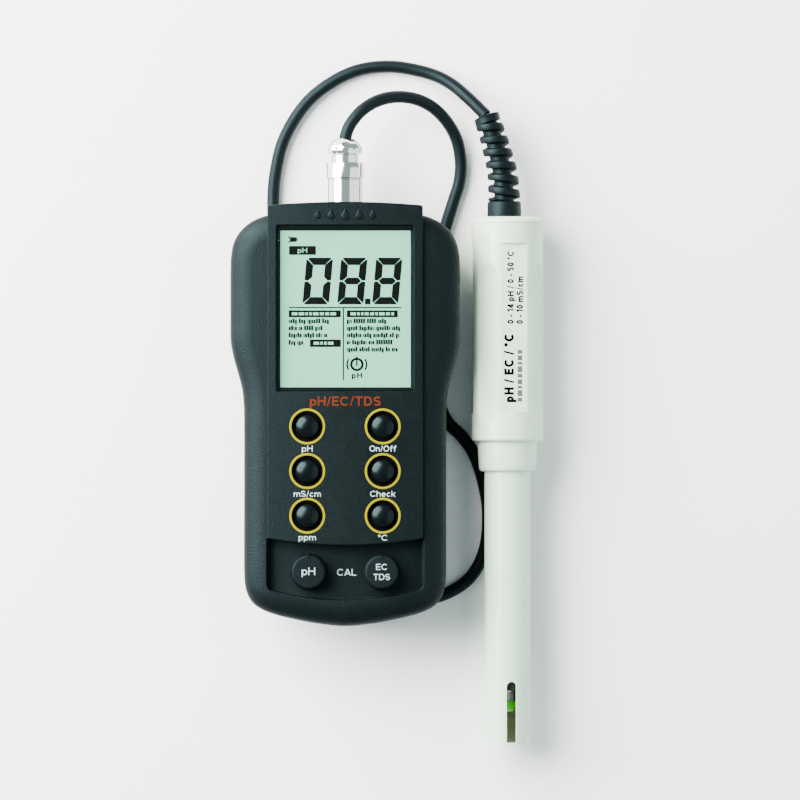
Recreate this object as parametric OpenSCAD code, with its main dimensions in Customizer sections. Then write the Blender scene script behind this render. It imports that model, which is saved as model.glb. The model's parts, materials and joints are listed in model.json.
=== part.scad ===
// Handheld pH / conductivity meter with its combined probe on a cable.
// Millimetres, +Z up. The meter lies on its back on the hump of its rear case.
// Origin: centre of the flat back face of that hump. +Y runs to the display end.

/* [Case] */
// Thickness of the case walls
wall = 2.4; // [2:0.1:2.6]
// Radius of the rounded upper edge of the case
edge_r = 4; // [3:0.25:4.5]
// Height of the flat shoulders above the table
shoulder_z = 34.6; // [34.4:0.1:34.8]
// Height of the raised centre panel above the table
panel_z = 36; // [35.8:0.1:36.2]
// Height of the joint line between the two case halves
seam_z = 21; // [20.9:0.05:21.1]
// Height of the underside of the rear case beside the hump
wing_z = 9.6; // [9.4:0.1:10]
// Half the width of the hump on the back
hump_hw = 17.5; // [17.2:0.1:17.6]
// Half the length of the hump on the back
hump_hl = 34; // [33.6:0.1:34.2]

/* [Keys] */
// Radius of a key cap
key_r = 4.1; // [3.8:0.1:4.2]
// Radial play of a key in its hole
key_play = 0.08; // [0.05:0.01:0.1]
// Height of a key's crown above the table
key_top = 37.6; // [37.2:0.1:38]
// Distance of the key columns from the centreline
key_x = 13.2; // [13:0.1:13.4]
// Distance from one row of keys to the next
key_pitch = 15.6; // [15.4:0.1:15.7]

/* [Knobs] */
// Radius of the knurled skirt of a knob
knob_r = 6.4; // [6:0.1:6.6]
// Radius of the top disc of a knob
knob_top_r = 5.7; // [5.2:0.1:5.8]
// Distance of each knob from the centreline
knob_x = 12.8; // [12.6:0.1:13]
// Number of flutes round a knob
flutes = 30; // [20:2:36]

/* [Battery] */
// Length of the 9 V block
bat_l = 48.5; // [47.5:0.5:48.5]
// Width of the 9 V block
bat_w = 26.5; // [25.5:0.5:26.5]
// Thickness of the 9 V block
bat_t = 17.5; // [16.5:0.5:17.5]

/* [Probe] */
// Radius of the handle
grip_r = 12.6; // [12.4:0.1:12.6]
// Radius of the shaft
stem_r = 8.1; // [7.9:0.1:8.1]
// Distance of the probe's axis from the meter's centreline
probe_x = 57; // [56.5:0.5:58]
// Width of the slot in the guard
slot_w = 3.5; // [3:0.25:4]
// Turn of the probe about its own axis, in degrees
turn = 10.5; // [0:0.5:15]

/* [Cable] */
// Diameter of the cable
cable_d = 4.4; // [4.2:0.1:4.4]

/* [Hidden] */
fn = 64;
slate = [0.27, 0.29, 0.32];
pale = [0.80, 0.82, 0.76];
e = 0.01;

// ---- outline of the case, right half from the top end to the bottom end
HALF = [[0, 82.6], [7, 82.5], [14, 82.2], [21, 81.5], [27.2, 80.5], [31, 79.3], [34, 77.6], [36.9, 74.9], [39, 71.5],
  [40, 67], [40.2, 60], [40.2, 48], [40.2, 36], [39.4, 32], [38.4, 28], [37.2, 24], [36, 19.5], [35.5, 14], [35.4, 8],
  [35.4, -16], [35.4, -46], [34.8, -51], [33.2, -54.8], [30.2, -57.3], [24, -59.6], [14.2, -61.8], [7, -62.9], [0, -63.5]];
nh = len(HALF);
// whole outline, counter-clockwise from above
OUT = concat([for (i = [nh - 1:-1:0]) HALF[i]], [for (i = [1:nh - 2]) [-HALF[i][0], HALF[i][1]]]);
no = len(OUT);
function unit(v) = v / norm(v);
function nrm(i) = let (a = OUT[(i + no - 1) % no], b = OUT[(i + 1) % no], t = unit(b - a)) [t[1], -t[0]];
NRM = [for (i = [0:no - 1]) nrm(i)];
function ring(inset, z) = [for (i = [0:no - 1]) let (p = OUT[i] - inset * NRM[i]) [p[0], p[1], z]];
function loft_faces(n, m) = concat([[for (i = [0:n - 1]) i]],
  [for (k = [0:m - 2]) for (i = [0:n - 1]) let (a = k * n + i, b = k * n + (i + 1) % n) [a, a + n, b + n]],
  [for (k = [0:m - 2]) for (i = [0:n - 1]) let (a = k * n + i, b = k * n + (i + 1) % n) [a, b + n, b]],
  [[for (i = [n - 1:-1:0]) (m - 1) * n + i]]);
module loft(rings) {
  n = len(rings[0]);
  m = len(rings);
  polyhedron(points = [for (r = rings) for (p = r) p], faces = loft_faces(n, m), convexity = 6);
}
module outline(inset = 0) { polygon([for (i = [0:no - 1]) OUT[i] - inset * NRM[i]]); }
module slab(z0, z1, inset = 0) { translate([0, 0, z0]) linear_extrude(z1 - z0) outline(inset); }
module box(x0, x1, y0, y1, z0, z1) { translate([x0, y0, z0]) cube([x1 - x0, y1 - y0, z1 - z0]); }
module pin(x, y, z0, z1, r) { translate([x, y, z0]) cylinder(h = z1 - z0, r = r, $fn = fn); }
// round bar along +Y
module bar(x, z, y0, y1, r) { translate([x, y0, z]) rotate([-90, 0, 0]) cylinder(h = y1 - y0, r = r, $fn = fn); }
module cone(x, z, y0, y1, r0, r1) { translate([x, y0, z]) rotate([-90, 0, 0]) cylinder(h = y1 - y0, r1 = r0, r2 = r1, $fn = fn); }
module tube(x, z, y0, y1, r, b) { difference() { bar(x, z, y0, y1, r); bar(x, z, y0 - 1, y1 + 1, b); } }
// ring with a round section about a bar along +Y
module oring(x, z, y, r, s) { translate([x, y, z]) rotate([-90, 0, 0]) rotate_extrude($fn = fn) translate([r, 0]) circle(r = s, $fn = 24); }
// curved strip: an arc bulging by b between two points at +-w
function arc(w, y, b, n = 12) = [for (i = [0:n]) let (x = -w + 2 * w * i / n) [x, y + b * (1 - (x / w) * (x / w))]];
function rev(v) = [for (i = [len(v) - 1:-1:0]) v[i]];

panel_w = 27.2;
PANEL = concat(arc(panel_w, -32.6, -2.4), rev(arc(panel_w, 83.8, 1.25)));
tray_z = 30.2;
TRAY = concat([[-27.4, -49.4], [-26.6, -50.4], [-25.2, -50.9]], arc(23.6, -51.2, -3.1), [[25.2, -50.9], [26.6, -50.4], [27.4, -49.4]],
  [[27.4, -32], [-27.4, -32]]);
KEYS = [[-key_x, 6.5], [key_x, 6.5], [-key_x, 6.5 - key_pitch], [key_x, 6.5 - key_pitch],
  [-key_x, 6.5 - 2 * key_pitch], [key_x, 6.5 - 2 * key_pitch]];
knob_y = -44.3;
KNOBS = [[-knob_x, knob_y], [knob_x, knob_y]];
SCREWS = [[-31.2, 60], [31.2, 60], [-29.6, -50], [29.6, -50]];
BSCREWS = [[-24, 11.5], [24, 11.5], [-24, -28.6], [24, -28.6]];
pcb_z = 24;
sock_z = 21;
key_low = 31;
ceil_z = 31.6;

module front_case() color(slate) difference() {
  union() {
    difference() {
      union() {
        loft(concat([ring(0, seam_z)], [for (a = [0:18:90]) ring(edge_r * (1 - cos(a)), shoulder_z - edge_r + edge_r * sin(a))]));
        translate([0, 0, ceil_z + 0.6]) linear_extrude(panel_z - ceil_z - 0.6) polygon(PANEL);
      }
      difference() {
        slab(seam_z - 1, ceil_z, edge_r - 1.6);
        // floor and walls of the tray stay
        translate([0, 0, tray_z - 1.8]) linear_extrude(10) polygon([[-29.4, -56.4], [29.4, -56.4], [29.4, -30.4], [-29.4, -30.4]]);
      }
      translate([0, 0, tray_z]) linear_extrude(10) polygon(TRAY);
      box(-24, 24, 18.7, 76.9, 30, 40);
      box(-26.2, 26.2, 16.5, 79, 30, 34.65);
      // groove for the gasket
      difference() { slab(seam_z - 1, seam_z + 0.6, 0.7); slab(seam_z - 2, seam_z + 1, 1.6); }
    }
    for (s = SCREWS) pin(s[0], s[1], seam_z, ceil_z + 0.5, 3.2);
    for (s = BSCREWS) pin(s[0], s[1], pcb_z + 1.6, ceil_z + 0.5, 2.8);
  }
  for (s = SCREWS) pin(s[0], s[1], seam_z - 1, 30, 1.45);
  for (s = BSCREWS) pin(s[0], s[1], pcb_z, 31, 1.25);
  for (k = KEYS) {
    pin(k[0], k[1], 25, 40, key_r + key_play);
    pin(k[0], k[1], 25, 33, 5.6);
    pin(k[0], k[1], panel_z - 1.2, 40, 5.2);
    difference() { pin(k[0], k[1], panel_z - 0.2, 40, 6.35); pin(k[0], k[1], 30, 41, 5.1); }
  }
  for (k = KNOBS) pin(k[0], k[1], 25, 40, 3.4);
  bar(0, sock_z, 70, 90, 6.05);
  // seat of the socket's flange
  bar(0, sock_z, 74, 80.25, 8);
}
module hump(z0, z1, inset = 0) {
  translate([0, 0, z0]) linear_extrude(z1 - z0) offset(r = 12 - inset, $fn = 48) square([2 * hump_hw - 24, 2 * hump_hl - 24], center = true);
}
door_y = 28.6;
door_z = 1.2;
module rear_case() color([0.31, 0.33, 0.35]) difference() {
  union() {
    difference() {
      loft([ring(8, wing_z), ring(5, wing_z + 0.4), ring(2.6, wing_z + 1.6), ring(1.2, wing_z + 3.4), ring(0.4, wing_z + 6), ring(0, wing_z + 8.4), ring(0, seam_z)]);
      slab(wing_z + 1.9, seam_z + 1, 6.4);
      slab(wing_z + 4.2, seam_z + 1, 3.4);
      slab(wing_z + 7, seam_z + 1, wall);
    }
    hump(0, wing_z + 1.95);
    box(-16.4, 16.4, -30, 32.4, wing_z, 21.7);
    for (s = SCREWS) pin(s[0], s[1], wing_z + 0.6, seam_z, 4);
  }
  box(-14.6, 14.6, -28, 30.5, -1, 20.5);
  // way for the leads
  box(-6, 6, 25, 29.4, 18, 25);
  // trunnion holes of the door
  for (s = [-1, 1]) translate([s * 14, door_y, door_z]) rotate([0, s * 90, 0]) cylinder(h = 2.1, r = 0.87, $fn = fn);
  for (s = SCREWS) { pin(s[0], s[1], 0, seam_z + 1, 1.6); pin(s[0], s[1], 0, wing_z + 3, 3); }
  difference() { slab(seam_z - 0.6, seam_z + 1, 0.7); slab(seam_z - 2, seam_z + 2, 1.6); }
  bar(0, sock_z, 70, 90, 6.05);
  // seat of the socket's flange
  bar(0, sock_z, 74, 80.25, 8);
}
module case_gasket() color([0.12, 0.12, 0.12]) difference() {
  slab(seam_z - 0.55, seam_z + 0.55, 0.8);
  slab(seam_z - 1, seam_z + 1, 1.5);
  bar(0, sock_z, 70, 90, 6.3);
}
module case_screws() color("silver") for (s = SCREWS) difference() {
  union() { pin(s[0], s[1], wing_z + 1, wing_z + 2.95, 2.8); pin(s[0], s[1], wing_z + 1, 29, 1.4); }
  box(s[0] - 2, s[0] + 2, s[1] - 0.35, s[1] + 0.35, wing_z, wing_z + 2);
  box(s[0] - 0.35, s[0] + 0.35, s[1] - 2, s[1] + 2, wing_z, wing_z + 2);
}
module display_window() color([0.85, 0.9, 0.9, 0.4]) box(-23.85, 23.85, 18.85, 76.75, 34.7, panel_z - 0.4);
module display_frame() color([0.12, 0.14, 0.15]) difference() {
  box(-26, 26, 16.7, 78.8, 33.6, 34.6);
  box(-22.7, 22.7, 20.2, 75, 33, 35);
}
module lcd_glass() color([0.72, 0.82, 0.78]) {
  box(-26, 26, 16.7, 78.8, 32.3, 33.55);
  box(-26, 26, 19, 76.5, 31, 32.3);
}
module contact_strips() color([0.85, 0.4, 0.5]) difference() {
  for (y = [16.8, 76.8]) box(-22, 22, y, y + 1.7, pcb_z + 1.6, 32.25);
  bar(0, sock_z, 70, 90, 8.4);
}
module main_board() color([0.05, 0.35, 0.2]) difference() {
  union() {
    box(-27, 27, -44, 74.9, pcb_z, pcb_z + 1.6);
    box(-25.8, 25.8, -52, -43.9, pcb_z, pcb_z + 1.6);
    box(-22.5, 22.5, 74.8, 78.6, pcb_z, pcb_z + 1.6);
    // processor, converter and crystal
    box(-7, 7, 30, 44, pcb_z + 1.6, pcb_z + 3);
    box(10, 18, 48, 53, pcb_z + 1.6, pcb_z + 3.4);
    box(-18, -12, 50, 60, pcb_z + 1.6, pcb_z + 3);
  }
  for (s = BSCREWS) pin(s[0], s[1], 20, 30, 1.35);
  bar(0, sock_z, 60, 90, 8.6);
}
module board_screws() color("silver") for (s = BSCREWS) { pin(s[0], s[1], pcb_z - 1.6, pcb_z, 2.4); pin(s[0], s[1], pcb_z - 0.1, 30.5, 1.2); }
module key_mat() color([0.2, 0.2, 0.22]) difference() {
  union() {
    box(-20.6, 20.6, -30.6, 13, pcb_z + 1.6, pcb_z + 2.6);
    for (k = KEYS) translate([k[0], k[1], pcb_z + 2.6]) cylinder(h = key_low - pcb_z - 2.6, r1 = 4.8, r2 = 2.8, $fn = fn);
  }
  for (k = KEYS) translate([k[0], k[1], pcb_z]) cylinder(h = 5, r1 = 4.9, r2 = 2.4, $fn = fn);
}
module key_rings() color([0.9, 0.78, 0.15]) for (k = KEYS) difference() { pin(k[0], k[1], panel_z - 0.2, panel_z + 0.12, 6.33); pin(k[0], k[1], 30, 40, 5.2); }
dome_h = 1.3;
dome_r = (key_r * key_r + dome_h * dome_h) / (2 * dome_h);
// a key: flange below the panel, cap with a shallow crown
module key_cap(i) translate([KEYS[i][0], KEYS[i][1], 0]) color([0.05, 0.05, 0.06]) rotate_extrude($fn = fn)
  polygon(concat([[0, key_low], [5, key_low + 0.8], [5, key_low + 1.7], [key_r, key_low + 1.7], [key_r, key_top - dome_h]],
    [for (j = [1:8]) let (a = asin(key_r / dome_r) * (1 - j / 8)) [dome_r * sin(a), key_top - dome_r + dome_r * cos(a)]]));
module key_ph() key_cap(0);
module key_power() key_cap(1);
module key_ms() key_cap(2);
module key_check() key_cap(3);
module key_ppm() key_cap(4);
module key_temp() key_cap(5);
knob_low = tray_z + 0.6;
knob_h = 36.6;
module knob(i) translate([KNOBS[i][0], KNOBS[i][1], 0]) color([0.24, 0.26, 0.28]) difference() {
  union() {
    pin(0, 0, knob_low, knob_h - 1.6, knob_r - 0.25);
    for (a = [0:360 / flutes:359]) rotate([0, 0, a]) translate([knob_r - 0.25, 0, knob_low]) cylinder(h = knob_h - 1.6 - knob_low, r = 0.25, $fn = 16);
    pin(0, 0, knob_low, knob_h, knob_top_r);
    box(-0.45, 0.45, 3.4, 5.5, knob_h - 0.1, knob_h + 0.5);
  }
  pin(0, 0, 20, knob_h - 1.5, 2);
}
module knob_ph() knob(0);
module knob_ec() knob(1);
module pot_shaft(i) color([0.85, 0.85, 0.82]) { pin(KNOBS[i][0], KNOBS[i][1], pcb_z + 2.2, knob_h - 1.6, 2); }
module pot_shaft_ph() pot_shaft(0);
module pot_shaft_ec() pot_shaft(1);
module pot_bodies() color([0.1, 0.25, 0.55]) for (k = KNOBS) difference() {
  box(k[0] - 4.8, k[0] + 4.8, k[1] - 4.6, k[1] + 4.6, pcb_z + 1.6, 28.2);
  pin(k[0], k[1], pcb_z + 2.1, 40, 2.06);
}
bat_z = 2.3;
module battery() color([0.15, 0.15, 0.16]) {
  box(-bat_w / 2, bat_w / 2, 23.9 - bat_l, 23.9, bat_z, bat_z + bat_t);
  for (s = [-1, 1]) bar(s * 6.3, bat_z + bat_t / 2, 23.8, 25.2, 2.6);
}
module battery_snap() color([0.1, 0.1, 0.1]) difference() {
  union() {
    box(-12, 12, 24.1, 27, bat_z + 3, bat_z + bat_t - 3);
    for (s = [-1, 1]) pin(s * 2, 26.1, bat_z + bat_t - 3.2, pcb_z, 0.75);
  }
  for (s = [-1, 1]) bar(s * 6.3, bat_z + bat_t / 2, 23, 25.3, 2.7);
}
module battery_pad() color([0.2, 0.2, 0.2]) box(-11, 11, -20, 18, 19.85, 20.5);
// door in the hump, swings out on two trunnion pins at its upper end
module battery_door() color([0.30, 0.32, 0.34]) difference() {
  union() {
    box(-14.2, 14.2, -27.6, 29.5, 0, 1.7);
    for (s = [-1, 1]) translate([s * 14.1, door_y, door_z]) rotate([0, s * 90, 0]) cylinder(h = 1.4, r = 0.8, $fn = fn);
  }
  // thumb grooves at the lower end
  for (i = [0:3]) box(-7, 7, -24.5 + 2 * i, -23.5 + 2 * i, -1, 0.5);
}
module socket_shell() color([0.78, 0.78, 0.76]) difference() {
  union() {
    bar(0, sock_z, 77.9, 79.9, 7.6);
    bar(0, sock_z, 76, 85, 6);
    bar(0, sock_z, 76, 93, 4.85);
    for (s = [-1, 1]) translate([0, 90.6, sock_z]) rotate([0, s * 90, 0]) cylinder(h = 5.5, r = 0.9, $fn = fn);
  }
  bar(0, sock_z, 84.6, 94, 4.1);
  bar(0, sock_z, 70, 94, 2.4);
}
module socket_insulator() color("white") difference() { bar(0, sock_z, 76.5, 91, 2.4); bar(0, sock_z, 70, 95, 1.2); }
module socket_contact() color([0.85, 0.68, 0.3]) difference() { bar(0, sock_z, 74, 90.5, 1.2); bar(0, sock_z, 82, 95, 0.72); }
module socket_nut() color("silver") difference() {
  translate([0, 82.7, sock_z]) rotate([-90, 0, 0]) cylinder(h = 1.65, r = 8, $fn = 6);
  bar(0, sock_z, 80, 90, 6);
}
module socket_gasket() color([0.1, 0.1, 0.1]) translate([0, 0, 0]) tube(0, sock_z, 79.9, 80.2, 7.6, 6);
module plug_body() color([0.80, 0.80, 0.78]) difference() {
  union() { bar(0, sock_z, 85.2, 96, 4.03); bar(0, sock_z, 94.6, 101.9, 4.8); bar(0, sock_z, 101.8, 104.5, 4); }
  bar(0, sock_z, 80, 94, 2.55);
  bar(0, sock_z, 93, 103, 1.6);
  bar(0, sock_z, 102, 110, 2.6);
}
module plug_insulator() color("white") difference() { bar(0, sock_z, 91.6, 94, 2.5); bar(0, sock_z, 90, 95, 0.8); }
module plug_pin() color([0.85, 0.68, 0.3]) { bar(0, sock_z, 83, 100, 0.65); bar(0, sock_z, 94.4, 100, 1.2); }
module coupling_ring() color([0.80, 0.80, 0.78]) difference() {
  union() {
    bar(0, sock_z, 85.1, 93.4, 6.25);
    bar(0, sock_z, 93.2, 98.7, 6.7);
    cone(0, sock_z, 98.7, 99.1, 6.7, 6.3);
  }
  bar(0, sock_z, 80, 94.3, 5.75);
  bar(0, sock_z, 90, 100, 4.87);
}
module cable_nut() color([0.80, 0.80, 0.78]) difference() {
  // domed nut
  translate([0, 0, sock_z]) rotate([-90, 0, 0]) rotate_extrude($fn = fn)
    polygon([[0, 101.9], [5.7, 101.9], [6.2, 102.4], [6.45, 103.3], [6.35, 104.3], [5.95, 105.4], [5.2, 106.4], [4.3, 107.1], [3.7, 107.5], [0, 107.5]]);
  // holes for a pin spanner
  for (a = [30:60:359]) translate([0, 103.9, sock_z]) rotate([0, a, 0]) translate([0, 0, 5.3]) cylinder(h = 3, r = 0.5, $fn = 24);
  bar(0, sock_z, 100, 104.6, 4.05);
  bar(0, sock_z, 100, 110, 2.75);
}
module cable_clamp() color([0.15, 0.15, 0.15]) bar(0, sock_z, 103, 104.6, 2.55);

// ---- cable route: boot, over the top, round the hump under the wings, out by the right side, back and up to the plug
ROUTE = [[49.4, 116, 11.5], [43.7, 121.7, 9], [36.4, 127.8, 5.6], [28.1, 131.4, 3.2], [15.8, 133.5, 2.2], [4, 132.1, 2.2],
  [-6.5, 126.9, 2.2], [-14.9, 119.4, 2.2], [-21.6, 108.3, 2.2], [-24.6, 97.1, 2.2], [-25.6, 86, 2.3], [-25, 72, 3.6],
  [-23.6, 59, 5.6], [-22, 47, 6.8], [-21.4, 37, 6.8], [-21.1, 27, 6.4], [-20.9, 16, 4], [-20.8, 5, 2.3], [-20.8, -10, 2.2],
  [-20, -26, 2.2], [-14.6, -35.8, 2.2], [-5, -38.8, 2.2], [6, -38.6, 2.2], [15, -35.2, 2.2], [20.2, -26, 2.2], [20.8, -10, 2.2],
  [20.8, 8, 2.2], [20.2, 26, 2.2], [15, 35.4, 2.2], [5, 38.6, 2.2], [-7, 38.8, 2.2], [-18, 35.6, 2.2], [-24.4, 26.5, 2.2],
  [-25.8, 12, 2.2], [-25.8, -8, 2.2], [-24.8, -28, 2.2], [-18.4, -39.4, 2.2], [-6.5, -43.8, 2.2], [7, -43.8, 2.2], [18.8, -39.4, 2.2],
  [24.8, -28, 2.2], [25.7, -10, 2.2], [25.7, 10, 2.2], [24.8, 28, 2.2], [18.6, 39.6, 2.2], [7, 43.8, 2.2], [-7, 43.8, 2.2],
  [-20.4, 39.8, 2.2], [-28.6, 29.5, 2.2], [-30.7, 14, 2.2], [-30.7, -6, 2.2], [-30.2, -26, 2.2], [-26.4, -41, 2.2], [-17, -51, 2.2],
  [-4, -55.4, 2.2], [10, -56.2, 2.2], [23.5, -55.4, 2.2], [35.5, -52.6, 2.2], [44.4, -46.4, 2.2], [49.2, -36.6, 2.2],
  [50.3, -24.5, 2.2], [48.8, -13.9, 2.2], [45.6, -4, 2.2], [41.5, 2.4, 2.2], [35.5, 8.8, 2.2], [31.8, 19.5, 2.2], [30.6, 33, 2.2],
  [30.8, 48, 2.2], [32.2, 63, 2.2], [35.2, 76.4, 2.2], [38.1, 86, 2.2], [40.2, 93, 2.3], [40.6, 100.4, 2.8], [38.7, 108.9, 4.2],
  [33.6, 116.4, 7.4], [27, 120.9, 10.8], [19.4, 122.4, 14.2], [12.2, 121.2, 17.2], [6, 117.6, 19.6], [1.6, 112.2, 20.9], [0, 107.6, 21], [0, 104.6, 21]];
nr = len(ROUTE);
function tang(P, i) = unit(P[min(i + 1, len(P) - 1)] - P[max(i - 1, 0)]);
function section(p, t, r, n, a0 = 0) = let (u = unit(cross([0, 0, 1], t)), v = cross(t, u))
  [for (j = [0:n - 1]) p + r * cos(360 * j / n + a0) * u + r * sin(360 * j / n + a0) * v];
module cable() color([0.25, 0.27, 0.30]) loft([for (i = [0:nr - 1]) section(ROUTE[i],
  i == nr - 1 ? [0, -1, 0] : i == 0 ? unit(ROUTE[1] - ROUTE[0]) : tang(ROUTE, i), cable_d / 2, 10)]);

// ---- ribbed boot
BOOT = [[55.9, 85.7, 12.6], [55.75, 89.7, 12.6], [55.4, 94.5, 12.5], [54.5, 99.3, 12.4], [53.3, 103.8, 12.2], [52.2, 107.8, 12], [50.9, 111.8, 11.8], [49.4, 116, 11.5]];
nb = len(BOOT);
function bp(s) = let (i = min(floor(s), nb - 2), f = s - i) BOOT[i] * (1 - f) + BOOT[i + 1] * f;
nrib = 8;
module strain_relief() color([0.1, 0.1, 0.11]) loft([for (k = [0:2 * nrib * 2 - 1]) let (s = (nb - 1) * k / (4 * nrib - 1), r = 5.8 - 1.2 * k / (4 * nrib - 1))
  section(bp(s), k == 0 ? [0, 1, 0] : k == 4 * nrib - 1 ? unit(ROUTE[1] - ROUTE[0]) : unit(bp(min(s + 0.4, nb - 1)) - bp(max(s - 0.4, 0))), (k % 4 < 2) ? r : r * 0.78, 12)]);
module relief_collar() color([0.1, 0.1, 0.11]) { bar(55.9, grip_r, 80.2, 85.7, 6); bar(55.9, grip_r, 77, 80.3, 4); }

// ---- probe, lying along Y beside the meter
px = probe_x;
pz = grip_r;
flat_d = 1.08;
scoop_r = 16;
scoop_d = 1.5;
module probe_handle() color(pale) difference() {
  bar(px, pz, 1.3, 78, grip_r);
  bar(px, pz, 12, 80, grip_r - 2.2);
  bar(px, pz, 0, 20, stem_r + 0.02);
  translate([px, 0, pz]) rotate([0, turn, 0]) {
    // flat for the label
    box(-9, 9, 11.7, 70.8, grip_r - flat_d, 20);
    // a long scoop for the fingers on each side of it
    for (s = [-1, 1]) rotate([0, s * 46, 0]) translate([0, 0, grip_r + scoop_r - scoop_d]) {
      bar(0, 0, 14, 57, scoop_r);
      for (y = [14, 57]) translate([0, y, 0]) sphere(r = scoop_r, $fn = fn);
    }
    // shallow flats low on both sides
    for (s = [-1, 1]) rotate([0, s * 100, 0]) box(-9, 9, 11, 69.3, grip_r - 0.5, 20);
  }
}
module probe_cap() color(pale) difference() {
  union() {
    cone(px, pz, 78, 79.3, grip_r, grip_r - 0.7);
    cone(px, pz, 79.3, 80.2, grip_r - 0.7, grip_r - 2);
    bar(px, pz, 71, 78.1, grip_r - 2.25);
  }
  bar(px, pz, 60, 77, grip_r - 4.4);
  bar(55.9, pz, 76, 82, 4);
  tube(px, pz, 73.2, 74.8, grip_r, grip_r - 3.7);
}
module cap_seal() color([0.1, 0.1, 0.1]) oring(px, pz, 74, grip_r - 2.95, 0.72);
module probe_label() color([0.86, 0.88, 0.84]) translate([px, 0, pz]) rotate([0, turn, 0]) box(-4.8, 4.8, 12.2, 70.2, grip_r - flat_d, grip_r - flat_d + 0.12);
module probe_collar() color(pale) difference() {
  cone(px, pz, -9.4, 1.3, 9.8, 10.5);
  bar(px, pz, -12, 5, stem_r + 0.02);
}
module shaft_seal() color([0.1, 0.1, 0.1]) oring(px, pz, 13, stem_r + 0.9, 0.85);
module probe_shaft() color(pale) difference() {
  union() { cone(px, pz, -105.2, -84, stem_r - 0.2, stem_r); bar(px, pz, -84.1, 16, stem_r); }
  bar(px, pz, -110, 20, stem_r - 1.5);
  // slot of the guard, with a round inner end
  translate([px, 0, pz]) rotate([0, turn, 0]) {
    box(-slot_w / 2, slot_w / 2, -110, -83.3 - slot_w / 2, 0, 12);
    pin(0, -83.3 - slot_w / 2, 0, 12, slot_w / 2);
  }
}
module sensor_seal() color([0.25, 0.27, 0.18]) difference() {
  bar(px, pz, -86.3, -78, stem_r - 1.52);
  bar(px, pz, -90, -70, 2.4);
  for (s = [-1, 1]) bar(px + 4.4 * s, pz - 1.2, -90, -70, 0.8);
  bar(px, pz - 4.9, -90, -70, 1.25);
  bar(px, pz + 4.4, -90, -82, 1.2);
}
module probe_gel() color([0.75, 0.8, 0.7]) difference() { bar(px, pz, -77.9, -4, stem_r - 1.55); bar(px, pz, -80, 0, 2.42); for (s = [-1, 1]) bar(px + 4.4 * s, pz - 1.2, -80, 0, 0.82); bar(px, pz - 4.9, -80, 0, 1.27); }
module glass_stem() color([0.85, 0.92, 0.92, 0.5]) bar(px, pz, -90.1, 2, 2.38);
module ph_bulb() color([0.35, 0.85, 0.35]) difference() {
  union() { bar(px, pz, -93.7, -90.1, 3.4); translate([px, -93.4, pz]) sphere(r = 3.2, $fn = 48); }
  box(px - 9, px + 9, -90.1, -80, pz - 9, pz + 9);
}
module reference_junction() color("white") bar(px, pz + 4.4, -86.8, -82, 1.18);
module ec_pins() color([0.2, 0.2, 0.2]) for (s = [-1, 1]) bar(px + 4.4 * s, pz - 1.2, -92, 1, 0.79);
module temp_sensor() color("silver") bar(px, pz - 4.9, -92, 1, 1.23);
module probe_board() color([0.05, 0.35, 0.2]) { box(px - 8.5, px + 8.5, 18, 60, pz - 0.8, pz + 0.8); box(px - 3, px + 3, 30, 36, pz + 0.8, pz + 2.2); }

front_case();
rear_case();
case_gasket();
case_screws();
display_window();
display_frame();
lcd_glass();
contact_strips();
main_board();
board_screws();
key_mat();
key_rings();
key_ph();
key_power();
key_ms();
key_check();
key_ppm();
key_temp();
knob_ph();
knob_ec();
pot_shaft_ph();
pot_shaft_ec();
pot_bodies();
battery();
battery_snap();
battery_pad();
battery_door();
socket_shell();
socket_insulator();
socket_contact();
socket_nut();
socket_gasket();
plug_body();
plug_insulator();
plug_pin();
coupling_ring();
cable_nut();
cable_clamp();
cable();
strain_relief();
relief_collar();
probe_handle();
probe_cap();
probe_label();
probe_collar();
probe_shaft();
cap_seal();
shaft_seal();
probe_board();
probe_gel();
sensor_seal();
glass_stem();
ph_bulb();
reference_junction();
ec_pins();
temp_sensor();
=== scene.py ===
import json
import math
import bmesh
import bpy
from mathutils import Matrix, Vector


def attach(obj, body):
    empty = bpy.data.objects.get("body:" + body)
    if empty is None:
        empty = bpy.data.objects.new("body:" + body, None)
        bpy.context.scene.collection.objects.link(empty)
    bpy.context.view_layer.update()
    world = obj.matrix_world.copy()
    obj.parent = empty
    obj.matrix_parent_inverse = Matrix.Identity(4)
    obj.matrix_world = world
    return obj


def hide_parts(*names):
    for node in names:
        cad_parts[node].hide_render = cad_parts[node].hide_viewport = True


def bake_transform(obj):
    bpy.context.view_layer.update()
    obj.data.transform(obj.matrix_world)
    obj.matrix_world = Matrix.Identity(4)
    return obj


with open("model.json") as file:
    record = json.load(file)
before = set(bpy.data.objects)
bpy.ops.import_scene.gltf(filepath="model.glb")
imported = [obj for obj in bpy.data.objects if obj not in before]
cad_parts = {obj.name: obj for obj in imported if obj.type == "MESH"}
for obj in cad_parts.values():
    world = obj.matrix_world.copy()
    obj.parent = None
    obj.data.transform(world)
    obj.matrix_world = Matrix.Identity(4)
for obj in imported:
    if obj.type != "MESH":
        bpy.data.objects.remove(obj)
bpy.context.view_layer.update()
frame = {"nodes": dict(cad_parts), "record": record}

MM = 0.001


# ---------------------------------------------------------------- camera
cam_data = bpy.data.cameras.new("camera")
cam_data.lens = 400.0
cam_data.sensor_width = 36.0
cam_data.clip_end = 30.0
cam = bpy.data.objects.new("camera", cam_data)
bpy.context.scene.collection.objects.link(cam)
cam.location = (0.0192, 0.01575, 0.030 + 0.28 * 400.0 / 36.0)
cam.rotation_euler = (0.0, 0.0, 0.0)
bpy.context.scene.camera = cam


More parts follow.
